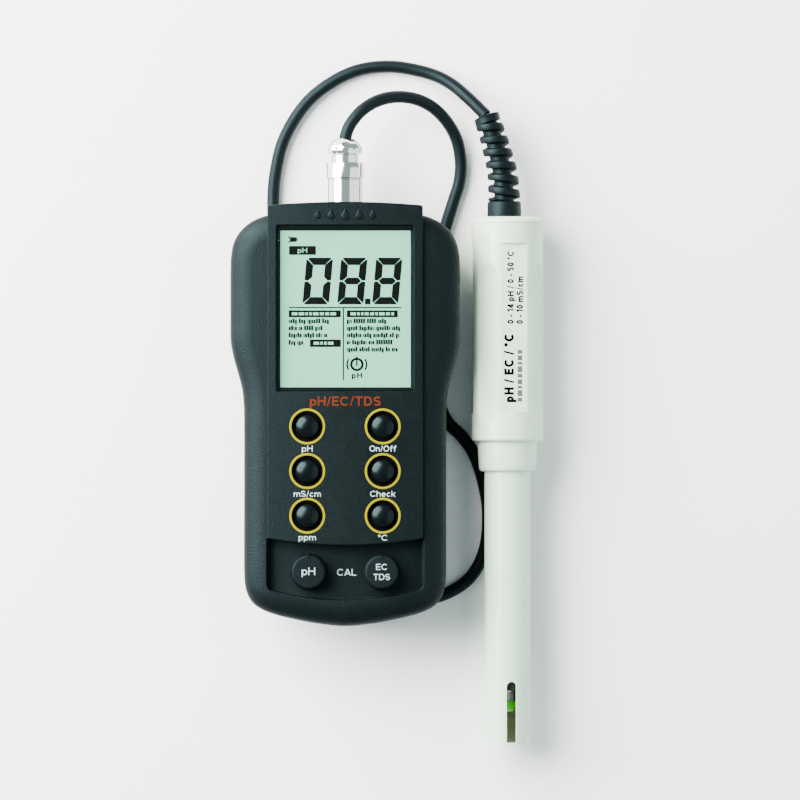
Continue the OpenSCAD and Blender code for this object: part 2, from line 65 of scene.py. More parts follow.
# ---------------------------------------------------------------- mesh helpers
def new_mesh(name, verts, faces, angle=35.0):
    me = bpy.data.meshes.new(name)
    me.from_pydata([tuple(c * MM for c in v) for v in verts], [], faces)
    me.validate()
    me.update()
    ob = bpy.data.objects.new(name, me)
    bpy.context.scene.collection.objects.link(ob)
    smooth(ob, angle)
    return ob


def smooth(ob, angle=35.0):
    me = ob.data
    me.shade_smooth()
    me.set_sharp_from_angle(angle=math.radians(angle))
    return ob


def fix_normals(ob):
    bm = bmesh.new()
    bm.from_mesh(ob.data)
    bmesh.ops.recalc_face_normals(bm, faces=bm.faces)
    bm.to_mesh(ob.data)
    bm.free()


def finish_piece(ob, body, mat, replaces=()):
    ob.data.materials.clear()
    ob.data.materials.append(mat)
    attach(ob, body)
    if replaces:
        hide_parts(*replaces)
    return ob


def bake_modifiers(ob):
    deps = bpy.context.evaluated_depsgraph_get()
    me = bpy.data.meshes.new_from_object(ob.evaluated_get(deps))
    old = ob.data
    ob.modifiers.clear()
    ob.data = me
    bpy.data.meshes.remove(old)
    return ob


def boolean(ob, tool, op="DIFFERENCE", overlap=False):
    m = ob.modifiers.new("b", "BOOLEAN")
    m.operation = op
    m.solver = "EXACT"
    m.use_self = overlap
    m.object = tool
    bpy.context.view_layer.update()
    bake_modifiers(ob)
    bpy.data.objects.remove(tool, do_unlink=True)
    return ob


def clean(ob, dist=0.004):
    bm = bmesh.new()
    bm.from_mesh(ob.data)
    bmesh.ops.remove_doubles(bm, verts=bm.verts, dist=dist * MM)
    bmesh.ops.dissolve_degenerate(bm, edges=bm.edges, dist=dist * MM)
    bm.to_mesh(ob.data)
    bm.free()


def bevel(ob, width, segments=2, angle=35.0, smooth_angle=50.0):
    m = ob.modifiers.new("bev", "BEVEL")
    m.width = width * MM
    m.segments = segments
    m.limit_method = "ANGLE"
    m.angle_limit = math.radians(angle)
    m.use_clamp_overlap = True
    m.harden_normals = False
    bpy.context.view_layer.update()
    bake_modifiers(ob)
    smooth(ob, smooth_angle)
    return ob


def even_normals(ob):
    """large flat faces keep a flat look beside their rounded edges"""
    m = ob.modifiers.new("wn", "WEIGHTED_NORMAL")
    m.mode = "FACE_AREA_WITH_ANGLE"
    m.weight = 90
    m.keep_sharp = True
    bpy.context.view_layer.update()
    return bake_modifiers(ob)


def join(name, obs):
    bm = bmesh.new()
    for o in obs:
        tmp = o.data.copy()
        tmp.transform(o.matrix_world)
        bm.from_mesh(tmp)
        bpy.data.meshes.remove(tmp)
    me = bpy.data.meshes.new(name)
    bm.to_mesh(me)
    bm.free()
    for o in obs:
        bpy.data.objects.remove(o, do_unlink=True)
    ob = bpy.data.objects.new(name, me)
    bpy.context.scene.collection.objects.link(ob)
    smooth(ob)
    return ob


def loft(name, rings, angle=35.0, close=False):
    """closed skin through rings of equal length; ends are capped unless the rings themselves close"""
    n, m = len(rings[0]), len(rings)
    verts = [p for r in rings for p in r]
    faces = []
    for k in range(m if close else m - 1):
        k2 = (k + 1) % m
        for i in range(n):
            j = (i + 1) % n
            faces.append((k * n + i, k * n + j, k2 * n + j, k2 * n + i))
    if not close:
        faces.append(tuple(range(n - 1, -1, -1)))
        faces.append(tuple((m - 1) * n + i for i in range(n)))
    ob = new_mesh(name, verts, faces, angle)
    fix_normals(ob)
    smooth(ob, angle)
    return ob


def inset_poly(pts, d):
    """moves a counter-clockwise outline inwards by d, with mitred corners"""
    out = []
    n = len(pts)
    for i in range(n):
        a, p, b = Vector(pts[i - 1]), Vector(pts[i]), Vector(pts[(i + 1) % n])
        t1, t2 = (p - a).normalized(), (b - p).normalized()
        n1, n2 = Vector((-t1.y, t1.x)), Vector((-t2.y, t2.x))
        k = 1.0 + n1.dot(n2)
        q = p + (n1 + n2) * (d / max(k, 0.25))
        out.append((q.x, q.y))
    return out


def round_poly(pts, r, steps=6, limit=25.0):
    """fillets every corner sharper than limit degrees"""
    out = []
    n = len(pts)
    for i in range(n):
        a, p, b = Vector(pts[i - 1]), Vector(pts[i]), Vector(pts[(i + 1) % n])
        u, v = (a - p).normalized(), (b - p).normalized()
        turn = math.pi - u.angle(v)
        if math.degrees(turn) < limit:
            out.append((p.x, p.y))
            continue
        half = u.angle(v) / 2
        c = p + (u + v).normalized() * (r / math.sin(half))
        d = r / math.tan(half)
        s, e = p + u * d - c, p + v * d - c
        a0, a1 = math.atan2(s.y, s.x), math.atan2(e.y, e.x)
        while a1 - a0 > math.pi:
            a1 -= 2 * math.pi
        while a1 - a0 < -math.pi:
            a1 += 2 * math.pi
        for k in range(steps + 1):
            w = a0 + (a1 - a0) * k / steps
            out.append((c.x + r * math.cos(w), c.y + r * math.sin(w)))
    return out


def prism(name, pts, levels, angle=35.0):
    """pts swept through (z, inset) levels"""
    return loft(name, [[(x, y, z) for x, y in inset_poly(pts, d)] for z, d in levels], angle)


def rect(x0, x1, y0, y1):
    return [(x0, y0), (x1, y0), (x1, y1), (x0, y1)]


def lathe(name, prof, axis="Z", at=(0.0, 0.0, 0.0), n=64, closed=False, angle=35.0):
    """prof is a list of (along, radius); poles where the radius is 0"""
    verts, faces, rows = [], [], []
    for a, r in prof:
        if r <= 1e-6 and not closed:
            rows.append([len(verts)])
            verts.append((0.0, 0.0, a))
        else:
            rows.append(list(range(len(verts), len(verts) + n)))
            for i in range(n):
                w = 2 * math.pi * i / n
                verts.append((r * math.cos(w), r * math.sin(w), a))
    pairs = list(zip(rows, rows[1:])) + ([(rows[-1], rows[0])] if closed else [])
    for p, q in pairs:
        for i in range(n):
            j = (i + 1) % n
            if len(p) == 1 and len(q) == 1:
                continue
            if len(p) == 1:
                faces.append((p[0], q[i], q[j]))
            elif len(q) == 1:
                faces.append((p[i], p[j], q[0]))
            else:
                faces.append((p[i], p[j], q[j], q[i]))
    if axis == "Y":
        verts = [(x, z, -y) for x, y, z in verts]
    elif axis == "X":
        verts = [(z, y, -x) for x, y, z in verts]
    verts = [(x + at[0], y + at[1], z + at[2]) for x, y, z in verts]
    ob = new_mesh(name, verts, faces, angle)
    fix_normals(ob)
    smooth(ob, angle)
    return ob


def arc_pts(cx, cy, r, a0, a1, steps):
    return [(cx + r * math.cos(math.radians(a0 + (a1 - a0) * k / steps)), cy + r * math.sin(math.radians(a0 + (a1 - a0) * k / steps))) for k in range(steps + 1)]


def spline(P, sub, closed=False):
    """Catmull-Rom through the points"""
    P = [Vector(p) for p in P]
    if closed:
        E = [P[-1]] + P + [P[0], P[1]]
    else:
        E = [2 * P[0] - P[1]] + P + [2 * P[-1] - P[-2]]
    out = []
    for i in range(1, len(E) - 2):
        a, b, c, d = E[i - 1], E[i], E[i + 1], E[i + 2]
        for k in range(sub):
            t = k / sub
            out.append(0.5 * (2 * b + (c - a) * t + (2 * a - 5 * b + 4 * c - d) * t * t + (3 * b - a - 3 * c + d) * t ** 3))
    if not closed:
        out.append(P[-1])
    return out


def frames(path):
    """a steady pair of cross directions along a path"""
    out = []
    n = len(path)
    u = None
    for i in range(n):
        t = (path[min(i + 1, n - 1)] - path[max(i - 1, 0)]).normalized()
        if u is None:
            u = t.cross(Vector((0, 0, 1)))
            if u.length < 1e-3:
                u = t.cross(Vector((1, 0, 0)))
            u.normalize()
        else:
            u = (u - t * u.dot(t)).normalized()
        out.append((t, u, t.cross(u)))
    return out


# ---------------------------------------------------------------- materials
def principled(name, color, rough, metallic=0.0, spec=0.5, coat=0.0, coat_rough=0.1, alpha=1.0, ior=1.5):
    m = bpy.data.materials.new(name)
    m.use_nodes = True
    nt = m.node_tree
    b = nt.nodes["Principled BSDF"]
    b.inputs["Base Color"].default_value = (*color, 1)
    b.inputs["Roughness"].default_value = rough
    b.inputs["Metallic"].default_value = metallic
    b.inputs["IOR"].default_value = ior
    b.inputs["Specular IOR Level"].default_value = spec
    b.inputs["Coat Weight"].default_value = coat
    b.inputs["Coat Roughness"].default_value = coat_rough
    b.inputs["Alpha"].default_value = alpha
    return m, nt, b


def coords(nt, scale=(1, 1, 1)):
    tc = nt.nodes.new("ShaderNodeTexCoord")
    mp = nt.nodes.new("ShaderNodeMapping")
    mp.inputs["Scale"].default_value = scale
    nt.links.new(tc.outputs["Object"], mp.inputs["Vector"])
    return mp.outputs["Vector"]


def noise(nt, vec, scale, detail=3.0, rough=0.5):
    n = nt.nodes.new("ShaderNodeTexNoise")
    n.inputs["Scale"].default_value = scale
    n.inputs["Detail"].default_value = detail
    n.inputs["Roughness"].default_value = rough
    nt.links.new(vec, n.inputs["Vector"])
    return n.outputs["Fac"]


def ramp(nt, fac, lo, hi, a=0.3, b=0.7):
    r = nt.nodes.new("ShaderNodeMapRange")
    r.inputs["From Min"].default_value = a
    r.inputs["From Max"].default_value = b
    r.inputs["To Min"].default_value = lo
    r.inputs["To Max"].default_value = hi
    nt.links.new(fac, r.inputs["Value"])
    return r.outputs["Result"]


def color_mix(nt, fac, c1, c2):
    m = nt.nodes.new("ShaderNodeMix")
    m.data_type = "RGBA"
    m.inputs["A"].default_value = (*c1, 1)
    m.inputs["B"].default_value = (*c2, 1)
    nt.links.new(fac, m.inputs["Factor"])
    return m.outputs["Result"]


def bump(nt, bsdf, height, strength, dist, chain=None):
    b = nt.nodes.new("ShaderNodeBump")
    b.inputs["Strength"].default_value = strength
    b.inputs["Distance"].default_value = dist
    nt.links.new(height, b.inputs["Height"])
    if chain is not None:
        nt.links.new(chain, b.inputs["Normal"])
    nt.links.new(b.outputs["Normal"], bsdf.inputs["Normal"])
    return b.outputs["Normal"]


def plastic(name, color, rough, grain=0.0, grain_scale=1800.0, vary=0.08, spec=0.5, coat=0.0, coat_rough=0.08, fine=0.0, rough_vary=0.06, crown=0.0, tint=None):
    """moulded plastic: slow colour drift, roughness patches, spark-eroded grain"""
    m, nt, b = principled(name, color, rough, spec=spec, coat=coat, coat_rough=coat_rough)
    v = coords(nt)
    drift = noise(nt, v, 45.0, 4.0, 0.6)
    c1 = tuple(max(0.0, c * (1 - vary)) for c in color)
    c2 = tuple(min(1.0, c * (1 + vary)) for c in color)
    nt.links.new(color_mix(nt, ramp(nt, drift, 0.0, 1.0), c1, c2), b.inputs["Base Color"])
    patch = noise(nt, v, 220.0, 3.0, 0.6)
    nt.links.new(ramp(nt, patch, max(0.02, rough - rough_vary), min(1.0, rough + rough_vary)), b.inputs["Roughness"])
    chain = None
    if tint:
        b.inputs["Specular Tint"].default_value = (*tint, 1)
    if crown:
        sep = nt.nodes.new("ShaderNodeSeparateXYZ")
        nt.links.new(v, sep.inputs["Vector"])
        sq = nt.nodes.new("ShaderNodeMath")
        sq.operation = "MULTIPLY"
        nt.links.new(sep.outputs["X"], sq.inputs[0])
        nt.links.new(sep.outputs["X"], sq.inputs[1])
        sc = nt.nodes.new("ShaderNodeMath")
        sc.operation = "MULTIPLY"
        nt.links.new(sq.outputs["Value"], sc.inputs[0])
        sc.inputs[1].default_value = -0.5 / crown
        chain = bump(nt, b, sc.outputs["Value"], 1.0, 1.0)
    if fine:
        chain = bump(nt, b, noise(nt, v, 260.0, 2.0), fine, 0.0002, chain)
    if grain:
        vo = nt.nodes.new("ShaderNodeTexVoronoi")
        vo.feature = "SMOOTH_F1"
        vo.inputs["Scale"].default_value = grain_scale
        vo.inputs["Smoothness"].default_value = 0.6
        nt.links.new(v, vo.inputs["Vector"])
        bump(nt, b, vo.outputs["Distance"], grain, 0.00012, chain)
    return m


def metal(name, color, rough, vary=0.05, scratch=0.15):
    m, nt, b = principled(name, color, rough, metallic=1.0)
    v = coords(nt, (1, 0.25, 1))
    s = noise(nt, v, 900.0, 4.0, 0.65)
    nt.links.new(ramp(nt, s, max(0.02, rough - vary), rough + vary), b.inputs["Roughness"])
    drift = noise(nt, v, 60.0, 2.0)
    c1 = tuple(c * 0.93 for c in color)
    nt.links.new(color_mix(nt, ramp(nt, drift, 0.0, 1.0), c1, color), b.inputs["Base Color"])
    bump(nt, b, s, scratch, 0.00001)
    return m


def glassy(name, color, alpha, rough=0.04, spec=0.5):
    m, nt, b = principled(name, color, rough, spec=spec, alpha=alpha)
    v = coords(nt)
    nt.links.new(ramp(nt, noise(nt, v, 120.0, 3.0), max(0.01, rough * 0.6), rough * 1.6), b.inputs["Roughness"])
    bump(nt, b, noise(nt, v, 30.0, 1.0), 0.02, 0.0001)
    m.surface_render_method = "BLENDED"
    return m


SLATE = (0.0015, 0.0026, 0.0027)
TEAL = (0.58, 0.93, 1.0)
MAT = {
    "case_dark": plastic("m_case_dark", SLATE, 0.46, grain=0.80, grain_scale=2200.0, vary=0.12, spec=0.112, crown=0.25, tint=TEAL),
    "rubber_black": plastic("m_rubber_black", (0.012, 0.013, 0.014), 0.65, grain=0.2, grain_scale=2600.0),
    "steel": metal("m_steel", (0.55, 0.55, 0.54), 0.32),
    "window_clear": glassy("m_window_clear", (0.01, 0.015, 0.015), 0.045, 0.03, spec=0.06),
    "frame_black": plastic("m_frame_black", (0.0012, 0.0018, 0.0020), 0.42, spec=0.07, grain=0.2, tint=TEAL),
    "lcd": plastic("m_lcd", (0.142, 0.400, 0.264), 0.5, vary=0.03, grain=0.0, fine=0.02, spec=0.15),
    "strip_pink": plastic("m_strip_pink", (0.52, 0.16, 0.20), 0.6),
    "pcb_green": plastic("m_pcb_green", (0.010, 0.085, 0.035), 0.35, vary=0.2, grain=0.15),
    "ring_yellow": plastic("m_ring_yellow", (0.185, 0.165, 0.0001), 0.5, spec=0.02, vary=0.05, grain=0.1),
    "key_black": plastic("m_key_black", (0.0012, 0.0018, 0.0020), 0.25, spec=0.15, vary=0.1, rough_vary=0.03, fine=0.01, tint=TEAL),
    "knob_dark": plastic("m_knob_dark", (0.0018, 0.0032, 0.0034), 0.46, spec=0.11, grain=0.3, grain_scale=2400.0, tint=TEAL),
    "pot_white": plastic("m_pot_white", (0.68, 0.68, 0.62), 0.45),
    "pot_blue": plastic("m_pot_blue", (0.02, 0.06, 0.26), 0.3),
    "battery_skin": plastic("m_battery_skin", (0.02, 0.022, 0.026), 0.28, vary=0.15),
    "nickel": metal("m_nickel", (0.74, 0.74, 0.71), 0.11),
    "insulator_white": plastic("m_insulator_white", (0.78, 0.78, 0.75), 0.5),
    "gold": metal("m_gold", (0.80, 0.58, 0.24), 0.22),
    "cable_grey": plastic("m_cable_grey", (0.0020, 0.0034, 0.0038), 0.45, spec=0.12, grain=0.15, grain_scale=2200.0, vary=0.12, fine=0.06, tint=TEAL),
    "boot_black": plastic("m_boot_black", (0.0016, 0.0028, 0.0032), 0.45, spec=0.12, grain=0.12, grain_scale=1700.0, tint=TEAL),
    "probe_pale": plastic("m_probe_pale", (0.510, 0.680, 0.520), 0.34, vary=0.02, grain=0.05, grain_scale=900.0, fine=0.03, rough_vary=0.05),
    "label_pale": plastic("m_label_pale", (0.560, 0.720, 0.570), 0.30, vary=0.02, grain=0.03),
    "gel": plastic("m_gel", (0.60, 0.64, 0.50), 0.3),
    "seal_olive": plastic("m_seal_olive", (0.012, 0.014, 0.005), 0.4, spec=0.12, vary=0.2, grain=0.2),
    "glass_clear": plastic("m_glass_clear", (0.60, 0.67, 0.61), 0.10, vary=0.35, coat=0.8, coat_rough=0.03),
    "bulb_green": plastic("m_bulb_green", (0.065, 0.72, 0.0010), 0.22, spec=0.2, vary=0.2, coat=0.3, coat_rough=0.04),
    "graphite": plastic("m_graphite", (0.02, 0.02, 0.02), 0.55, grain=0.3),
}
M_INK_WHITE = plastic("m_ink_white", (0.34, 0.43, 0.43), 0.55, spec=0.05, vary=0.03)
M_INK_ORANGE = plastic("m_ink_orange", (0.085, 0.0150, 0.0050), 0.6, spec=0.02, vary=0.05)
M_INK_BLACK = plastic("m_ink_black", (0.0005, 0.0006, 0.0006), 0.6, spec=0.02, vary=0.05)
M_INK_GREY = plastic("m_ink_grey", (0.075, 0.090, 0.078), 0.6, spec=0.05, vary=0.05)
M_LCD_INK = plastic("m_lcd_ink", (0.0010, 0.0012, 0.0012), 0.6, spec=0.03, vary=0.05)
M_LCD_PALE = plastic("m_lcd_pale", (0.142, 0.400, 0.264), 0.5, vary=0.03, spec=0.1)
# near-black material for the painted shade in the key wells
M_RECESS_PAINTED_SHADE = plastic("m_recess_painted_shade", (0.0006, 0.0008, 0.0009), 0.6, spec=0.03, grain=0.2)
# beige-olive for the guard's bore: its beige tone, darkened as painted shade inside the guard
M_BORE_PAINTED_SHADE = plastic("m_guard_bore_painted_shade", (0.290, 0.280, 0.165), 0.4, spec=0.2, vary=0.25, grain=0.05)
M_REAR = plastic("m_case_rear", (0.0018, 0.0030, 0.0031), 0.46, spec=0.112, grain=0.80, grain_scale=2200.0, vary=0.10, tint=TEAL)

# ---------------------------------------------------------------- cable
ROUTE = [[49.4, 116, 11.5], [43.7, 121.7, 9], [36.4, 127.8, 5.6], [28.1, 131.4, 3.2], [15.8, 133.5, 2.2], [4, 132.1, 2.2],
  [-6.5, 126.9, 2.2], [-14.9, 119.4, 2.2], [-21.6, 108.3, 2.2], [-24.6, 97.1, 2.2], [-25.6, 86, 2.3], [-25, 72, 3.6],
  [-23.6, 59, 5.6], [-22, 47, 6.8], [-21.4, 37, 6.8], [-21.1, 27, 6.4], [-20.9, 16, 4], [-20.8, 5, 2.3], [-20.8, -10, 2.2],
  [-20, -26, 2.2], [-14.6, -35.8, 2.2], [-5, -38.8, 2.2], [6, -38.6, 2.2], [15, -35.2, 2.2], [20.2, -26, 2.2], [20.8, -10, 2.2],
  [20.8, 8, 2.2], [20.2, 26, 2.2], [15, 35.4, 2.2], [5, 38.6, 2.2], [-7, 38.8, 2.2], [-18, 35.6, 2.2], [-24.4, 26.5, 2.2],
  [-25.8, 12, 2.2], [-25.8, -8, 2.2], [-24.8, -28, 2.2], [-18.4, -39.4, 2.2], [-6.5, -43.8, 2.2], [7, -43.8, 2.2], [18.8, -39.4, 2.2],
  [24.8, -28, 2.2], [25.7, -10, 2.2], [25.7, 10, 2.2], [24.8, 28, 2.2], [18.6, 39.6, 2.2], [7, 43.8, 2.2], [-7, 43.8, 2.2],
  [-20.4, 39.8, 2.2], [-28.6, 29.5, 2.2], [-30.7, 14, 2.2], [-30.7, -6, 2.2], [-30.2, -26, 2.2], [-26.4, -41, 2.2], [-17, -51, 2.2],
  [-4, -55.4, 2.2], [10, -56.2, 2.2], [23.5, -55.4, 2.2], [35.5, -52.6, 2.2], [44.4, -46.4, 2.2], [49.2, -36.6, 2.2],
  [50.3, -24.5, 2.2], [48.8, -13.9, 2.2], [45.6, -4, 2.2], [41.5, 2.4, 2.2], [35.5, 8.8, 2.2], [31.8, 19.5, 2.2], [30.6, 33, 2.2],
  [30.8, 48, 2.2], [32.2, 63, 2.2], [35.2, 76.4, 2.2], [38.1, 86, 2.2], [40.2, 93, 2.3], [40.6, 100.4, 2.8], [38.7, 108.9, 4.2],
  [33.6, 116.4, 7.4], [27, 120.9, 10.8], [19.4, 122.4, 14.2], [12.2, 121.2, 17.2], [6, 117.6, 19.6], [1.6, 112.2, 20.9], [0, 107.6, 21], [0, 104.6, 21]]
CABLE_R = 2.2


def even(path, step):
    """points a constant step apart along a path"""
    out = [path[0].copy()]
    need = step
    for a, b in zip(path, path[1:]):
        seg = (b - a).length
        at = 0.0
        while seg - at >= need:
            at += need
            out.append(a + (b - a) * (at / seg))
            need = step
        need -= seg - at
    if (out[-1] - path[-1]).length > step * 0.3:
        out.append(path[-1].copy())
    else:
        out[-1] = path[-1].copy()
    return out


cable_path = even(spline(ROUTE, 12), 1.6)
for p in cable_path:
    p.z = max(p.z, CABLE_R + 0.01)
rings = []
for p, (t, u, v) in zip(cable_path, frames(cable_path)):
    rings.append([tuple(p + CABLE_R * (math.cos(w) * u + math.sin(w) * v)) for w in [2 * math.pi * k / 18 for k in range(18)]])
cable = loft("cable_lead", rings, 60)
cable.data.materials.append(MAT["cable_grey"])
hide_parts("cable")
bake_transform(cable)

# ---------------------------------------------------------------- connector (metal pieces on the cable)
SZ = 21.0
ring_prof = [(85.1, 5.75), (85.1, 6.05), (85.3, 6.25), (93.0, 6.25), (93.15, 6.12), (93.35, 6.12), (93.45, 6.5), (93.7, 6.7), (98.6, 6.7), (98.95, 6.5), (99.1, 6.2),
             (99.1, 4.87), (94.3, 4.87), (94.3, 5.75)]
coupling = lathe("coupling_sleeve", ring_prof, "Y", (0, 0, SZ), 96, closed=True, angle=30)
finish_piece(coupling, "ring_body", MAT["nickel"], ["coupling_ring"])


def nut_mesh():
    """domed nut with six soft flats"""
    prof = [(101.95, 5.0), (101.9, 5.5), (102.1, 5.95), (102.6, 6.25), (103.3, 6.42), (104.0, 6.38), (104.8, 6.12), (105.6, 5.62), (106.3, 5.0), (106.9, 4.3), (107.3, 3.7), (107.45, 3.3),
            (107.4, 2.75), (104.7, 2.75), (104.65, 4.05), (102.0, 4.05)]
    n = 96
    verts, faces = [], []
    for k, (a, r) in enumerate(prof):
        for i in range(n):
            w = 2 * math.pi * i / n
            rr = r
            if 3 <= k <= 10:
                q = ((w + math.pi / 6) % (math.pi / 3)) - math.pi / 6
                flat = (r * 0.955) / math.cos(q)
                rr = min(r, flat)
            verts.append((rr * math.cos(w), a, SZ + rr * math.sin(w)))
    m = len(prof)
    for k in range(m):
        for i in range(n):
            j = (i + 1) % n
            k2 = (k + 1) % m
            faces.append((k * n + i, k * n + j, k2 * n + j, k2 * n + i))
    ob = new_mesh("plug_cable_nut", verts, faces, 40)
    fix_normals(ob)
    smooth(ob, 24)
    tools = []
    for a in range(30, 360, 60):
        w = math.radians(a)
        t = lathe("t", [(0, 0), (0, 0.5), (3, 0.5), (3, 0)], "Z", (0, 0, 0), 16)
        t.data.transform(Matrix.Translation(Vector((0, 103.9 * MM, SZ * MM))) @ Matrix.Rotation(w, 4, "Y") @ Matrix.Translation(Vector((0, 0, 5.3 * MM))))
        tools.append(t)
    boolean(ob, join("t", tools))
    smooth(ob, 24)
    return ob


nut = nut_mesh()
finish_piece(nut, "plug", MAT["nickel"], ["cable_nut"])
body_prof = [(85.2, 2.55), (85.2, 3.9), (85.35, 4.03), (94.6, 4.03), (94.6, 4.8), (101.6, 4.8), (101.85, 4.6), (101.9, 4.0), (104.5, 4.0), (104.5, 2.6), (102, 2.6), (102, 1.6), (94, 1.6), (94, 2.55)]
plug_b = lathe("plug_shell", body_prof, "Y", (0, 0, SZ), 80, closed=True, angle=30)
finish_piece(plug_b, "plug", MAT["nickel"], ["plug_body"])

# ---------------------------------------------------------------- ribbed boot
BOOT = [[55.9, 85.7, 12.6], [55.75, 89.7, 12.6], [55.4, 94.5, 12.5], [54.5, 99.3, 12.4], [53.3, 103.8, 12.2], [52.2, 107.8, 12], [50.9, 111.8, 11.8], [49.4, 116, 11.5]]


def boot_mesh():
    path = even(spline(BOOT, 12), 0.14)
    n = 56
    fr = frames(path)
    total = len(path) - 1
    turns = 6.75
    rings = []
    for k, (p, (t, u, v)) in enumerate(zip(path, fr)):
        s = k / total
        rib = 5.8 - 1.2 * s
        core = 3.5 - 0.55 * s
        row = []
        for i in range(n):
            w = 2 * math.pi * i / n
            ph = (s * turns + w / (2 * math.pi)) % 1.0
            d = abs(ph - 0.5) * 2
            # flat-topped rib over 58% of the pitch
            x = (d - 0.50) / 0.16
            x = min(1.0, max(0.0, x))
            h = 1 - x * x * (3 - 2 * x)
            # plain ring at the cable end
            e = min(1.0, max(0.0, (s - 0.895) / 0.012))
            h = max(h, e)
            crown = 0.16 * (d / 0.5) ** 2 if d < 0.5 else 0.16
            ends = min(1.0, s / 0.012, (1 - s) / 0.012)
            r = core + (rib - core - crown) * h * max(0.0, min(1.0, ends))
            row.append(tuple(p + r * (math.cos(w) * u + math.sin(w) * v)))
        rings.append(row)
    return loft("strain_boot", rings, 60)


boot = boot_mesh()
finish_piece(boot, "meter", MAT["boot_black"], ["strain_relief"])
collar_prof = [(77.0, 0), (77.0, 4.0), (80.2, 4.0), (80.2, 6.0), (84.9, 5.92), (85.4, 5.75), (85.7, 5.3), (85.7, 0)]
boot_collar = lathe("boot_collar", collar_prof, "Y", (55.9, 0, 12.6), 72, angle=30)
finish_piece(boot_collar, "meter", MAT["boot_black"], ["relief_collar"])

# ---------------------------------------------------------------- case outline
HALF = [[0, 82.6], [7, 82.5], [14, 82.2], [21, 81.5], [27.2, 80.5], [31, 79.3], [34, 77.6], [36.9, 74.9], [39, 71.5],
  [40, 67], [40.2, 60], [40.2, 48], [40.2, 36], [39.4, 32], [38.4, 28], [37.2, 24], [36, 19.5], [35.5, 14], [35.4, 8],
  [35.4, -16], [35.4, -46], [34.8, -51], [33.2, -54.8], [30.2, -57.3], [24, -59.6], [14.2, -61.8], [7, -62.9], [0, -63.5]]
WHOLE = list(reversed(HALF)) + [[-x, y] for x, y in HALF[1:-1]]


def relax(pts, amount, full=0.0):
    """slides points along the outline so their spacing evens out; full also softens the shape"""
    out = []
    n = len(pts)
    for i in range(n):
        a, p, b = Vector(pts[i - 1]), Vector(pts[i]), Vector(pts[(i + 1) % n])
        t = (b - a).normalized()
        d = (a + b) / 2 - p
        q = p + t * d.dot(t) * amount + d * full
        out.append((q.x, q.y))
    return out


def even_outline(pts, n):
    """n points at equal spacing round a closed outline, starting at its first point"""
    P = [Vector(p) for p in pts] + [Vector(pts[0])]
    L = [0.0]
    for a, b in zip(P, P[1:]):
        L.append(L[-1] + (b - a).length)
    out, k = [], 0
    for i in range(n):
        t = L[-1] * i / n
        while L[k + 1] < t:
            k += 1
        f = (t - L[k]) / (L[k + 1] - L[k])
        q = P[k] * (1 - f) + P[k + 1] * f
        out.append((q.x, q.y))
    return out


OUT = even_outline([(p.x, p.y) for p in spline([(x, y, 0) for x, y in WHOLE], 8, closed=True)], 260)
for _ in range(6):
    OUT = relax(OUT, 0.0, 0.4)
OUT = [(max(-40.2, min(40.2, x)), min(82.6, max(-63.5, y))) for x, y in OUT]


def outline_inset(d):
    """the case outline moved in by d, in small steps so tight corners never cross"""
    pts = OUT
    k = max(1, int(math.ceil(abs(d) / 0.4)))
    for _ in range(k):
        pts = inset_poly(pts, d / k)
        if abs(d) > 0.5:
            pts = relax(pts, 0.5, 0.06)
    return pts


def case_loft(name, levels, angle=35.0):
    return loft(name, [[(x, y, z) for x, y in outline_inset(d)] for z, d in levels], angle)



def parab(w, y, b, n=24):
    return [(-w + 2 * w * i / n, y + b * (1 - ((-w + 2 * w * i / n) / w) ** 2)) for i in range(n + 1)]


PANEL = parab(27.2, -32.6, -2.4) + list(reversed(parab(27.2, 83.8, 1.25)))
TRAY = [(-27.4, -51.0)] + parab(24.5, -51.15, -3.15) + [(27.4, -51.0), (27.4, -30.0), (-27.4, -30.0)]
KX, KY0, KP = 13.2, 6.5, 15.6
KEYS = [(-KX, KY0), (KX, KY0), (-KX, KY0 - KP), (KX, KY0 - KP), (-KX, KY0 - 2 * KP), (KX, KY0 - 2 * KP)]
KNOBS = [(-12.8, -44.3), (12.8, -44.3)]
SHZ, PZ, SEAM, TZ = 34.6, 36.0, 21.0, 30.2


def quarter(z_top, r, steps=8):
    return [(z_top - r + r * math.sin(math.radians(90 * k / steps)), r * (1 - math.cos(math.radians(90 * k / steps)))) for k in range(steps + 1)]


# ---------------------------------------------------------------- front case
def flank(z_top, drop, reach, steps=14):
    return [(z_top - drop + drop * math.sin(math.radians(90 * k / steps)), reach * (1 - math.cos(math.radians(90 * k / steps)))) for k in range(steps + 1)]


shell = case_loft("front_shell", [(SEAM + 0.02, 0.22), (SEAM + 0.28, 0.0)] + flank(SHZ, 4.4, 7.9))
panel_solid = prism("p", round_poly(PANEL, 0.9, 5), [(31.0, 0.0), (PZ - 0.35, 0.0), (PZ - 0.16, 0.06), (PZ - 0.05, 0.18), (PZ, 0.38)])
boolean(shell, panel_solid, "UNION")
tray_tool = prism("t", round_poly(TRAY, 2.6, 8, 30), [(TZ, 0.7), (TZ + 0.15, 0.3), (TZ + 0.5, 0.06), (TZ + 0.9, 0.0), (SHZ - 0.35, 0.0), (SHZ - 0.12, -0.07), (SHZ, -0.25), (SHZ + 0.2, -0.8), (40, -0.8)])
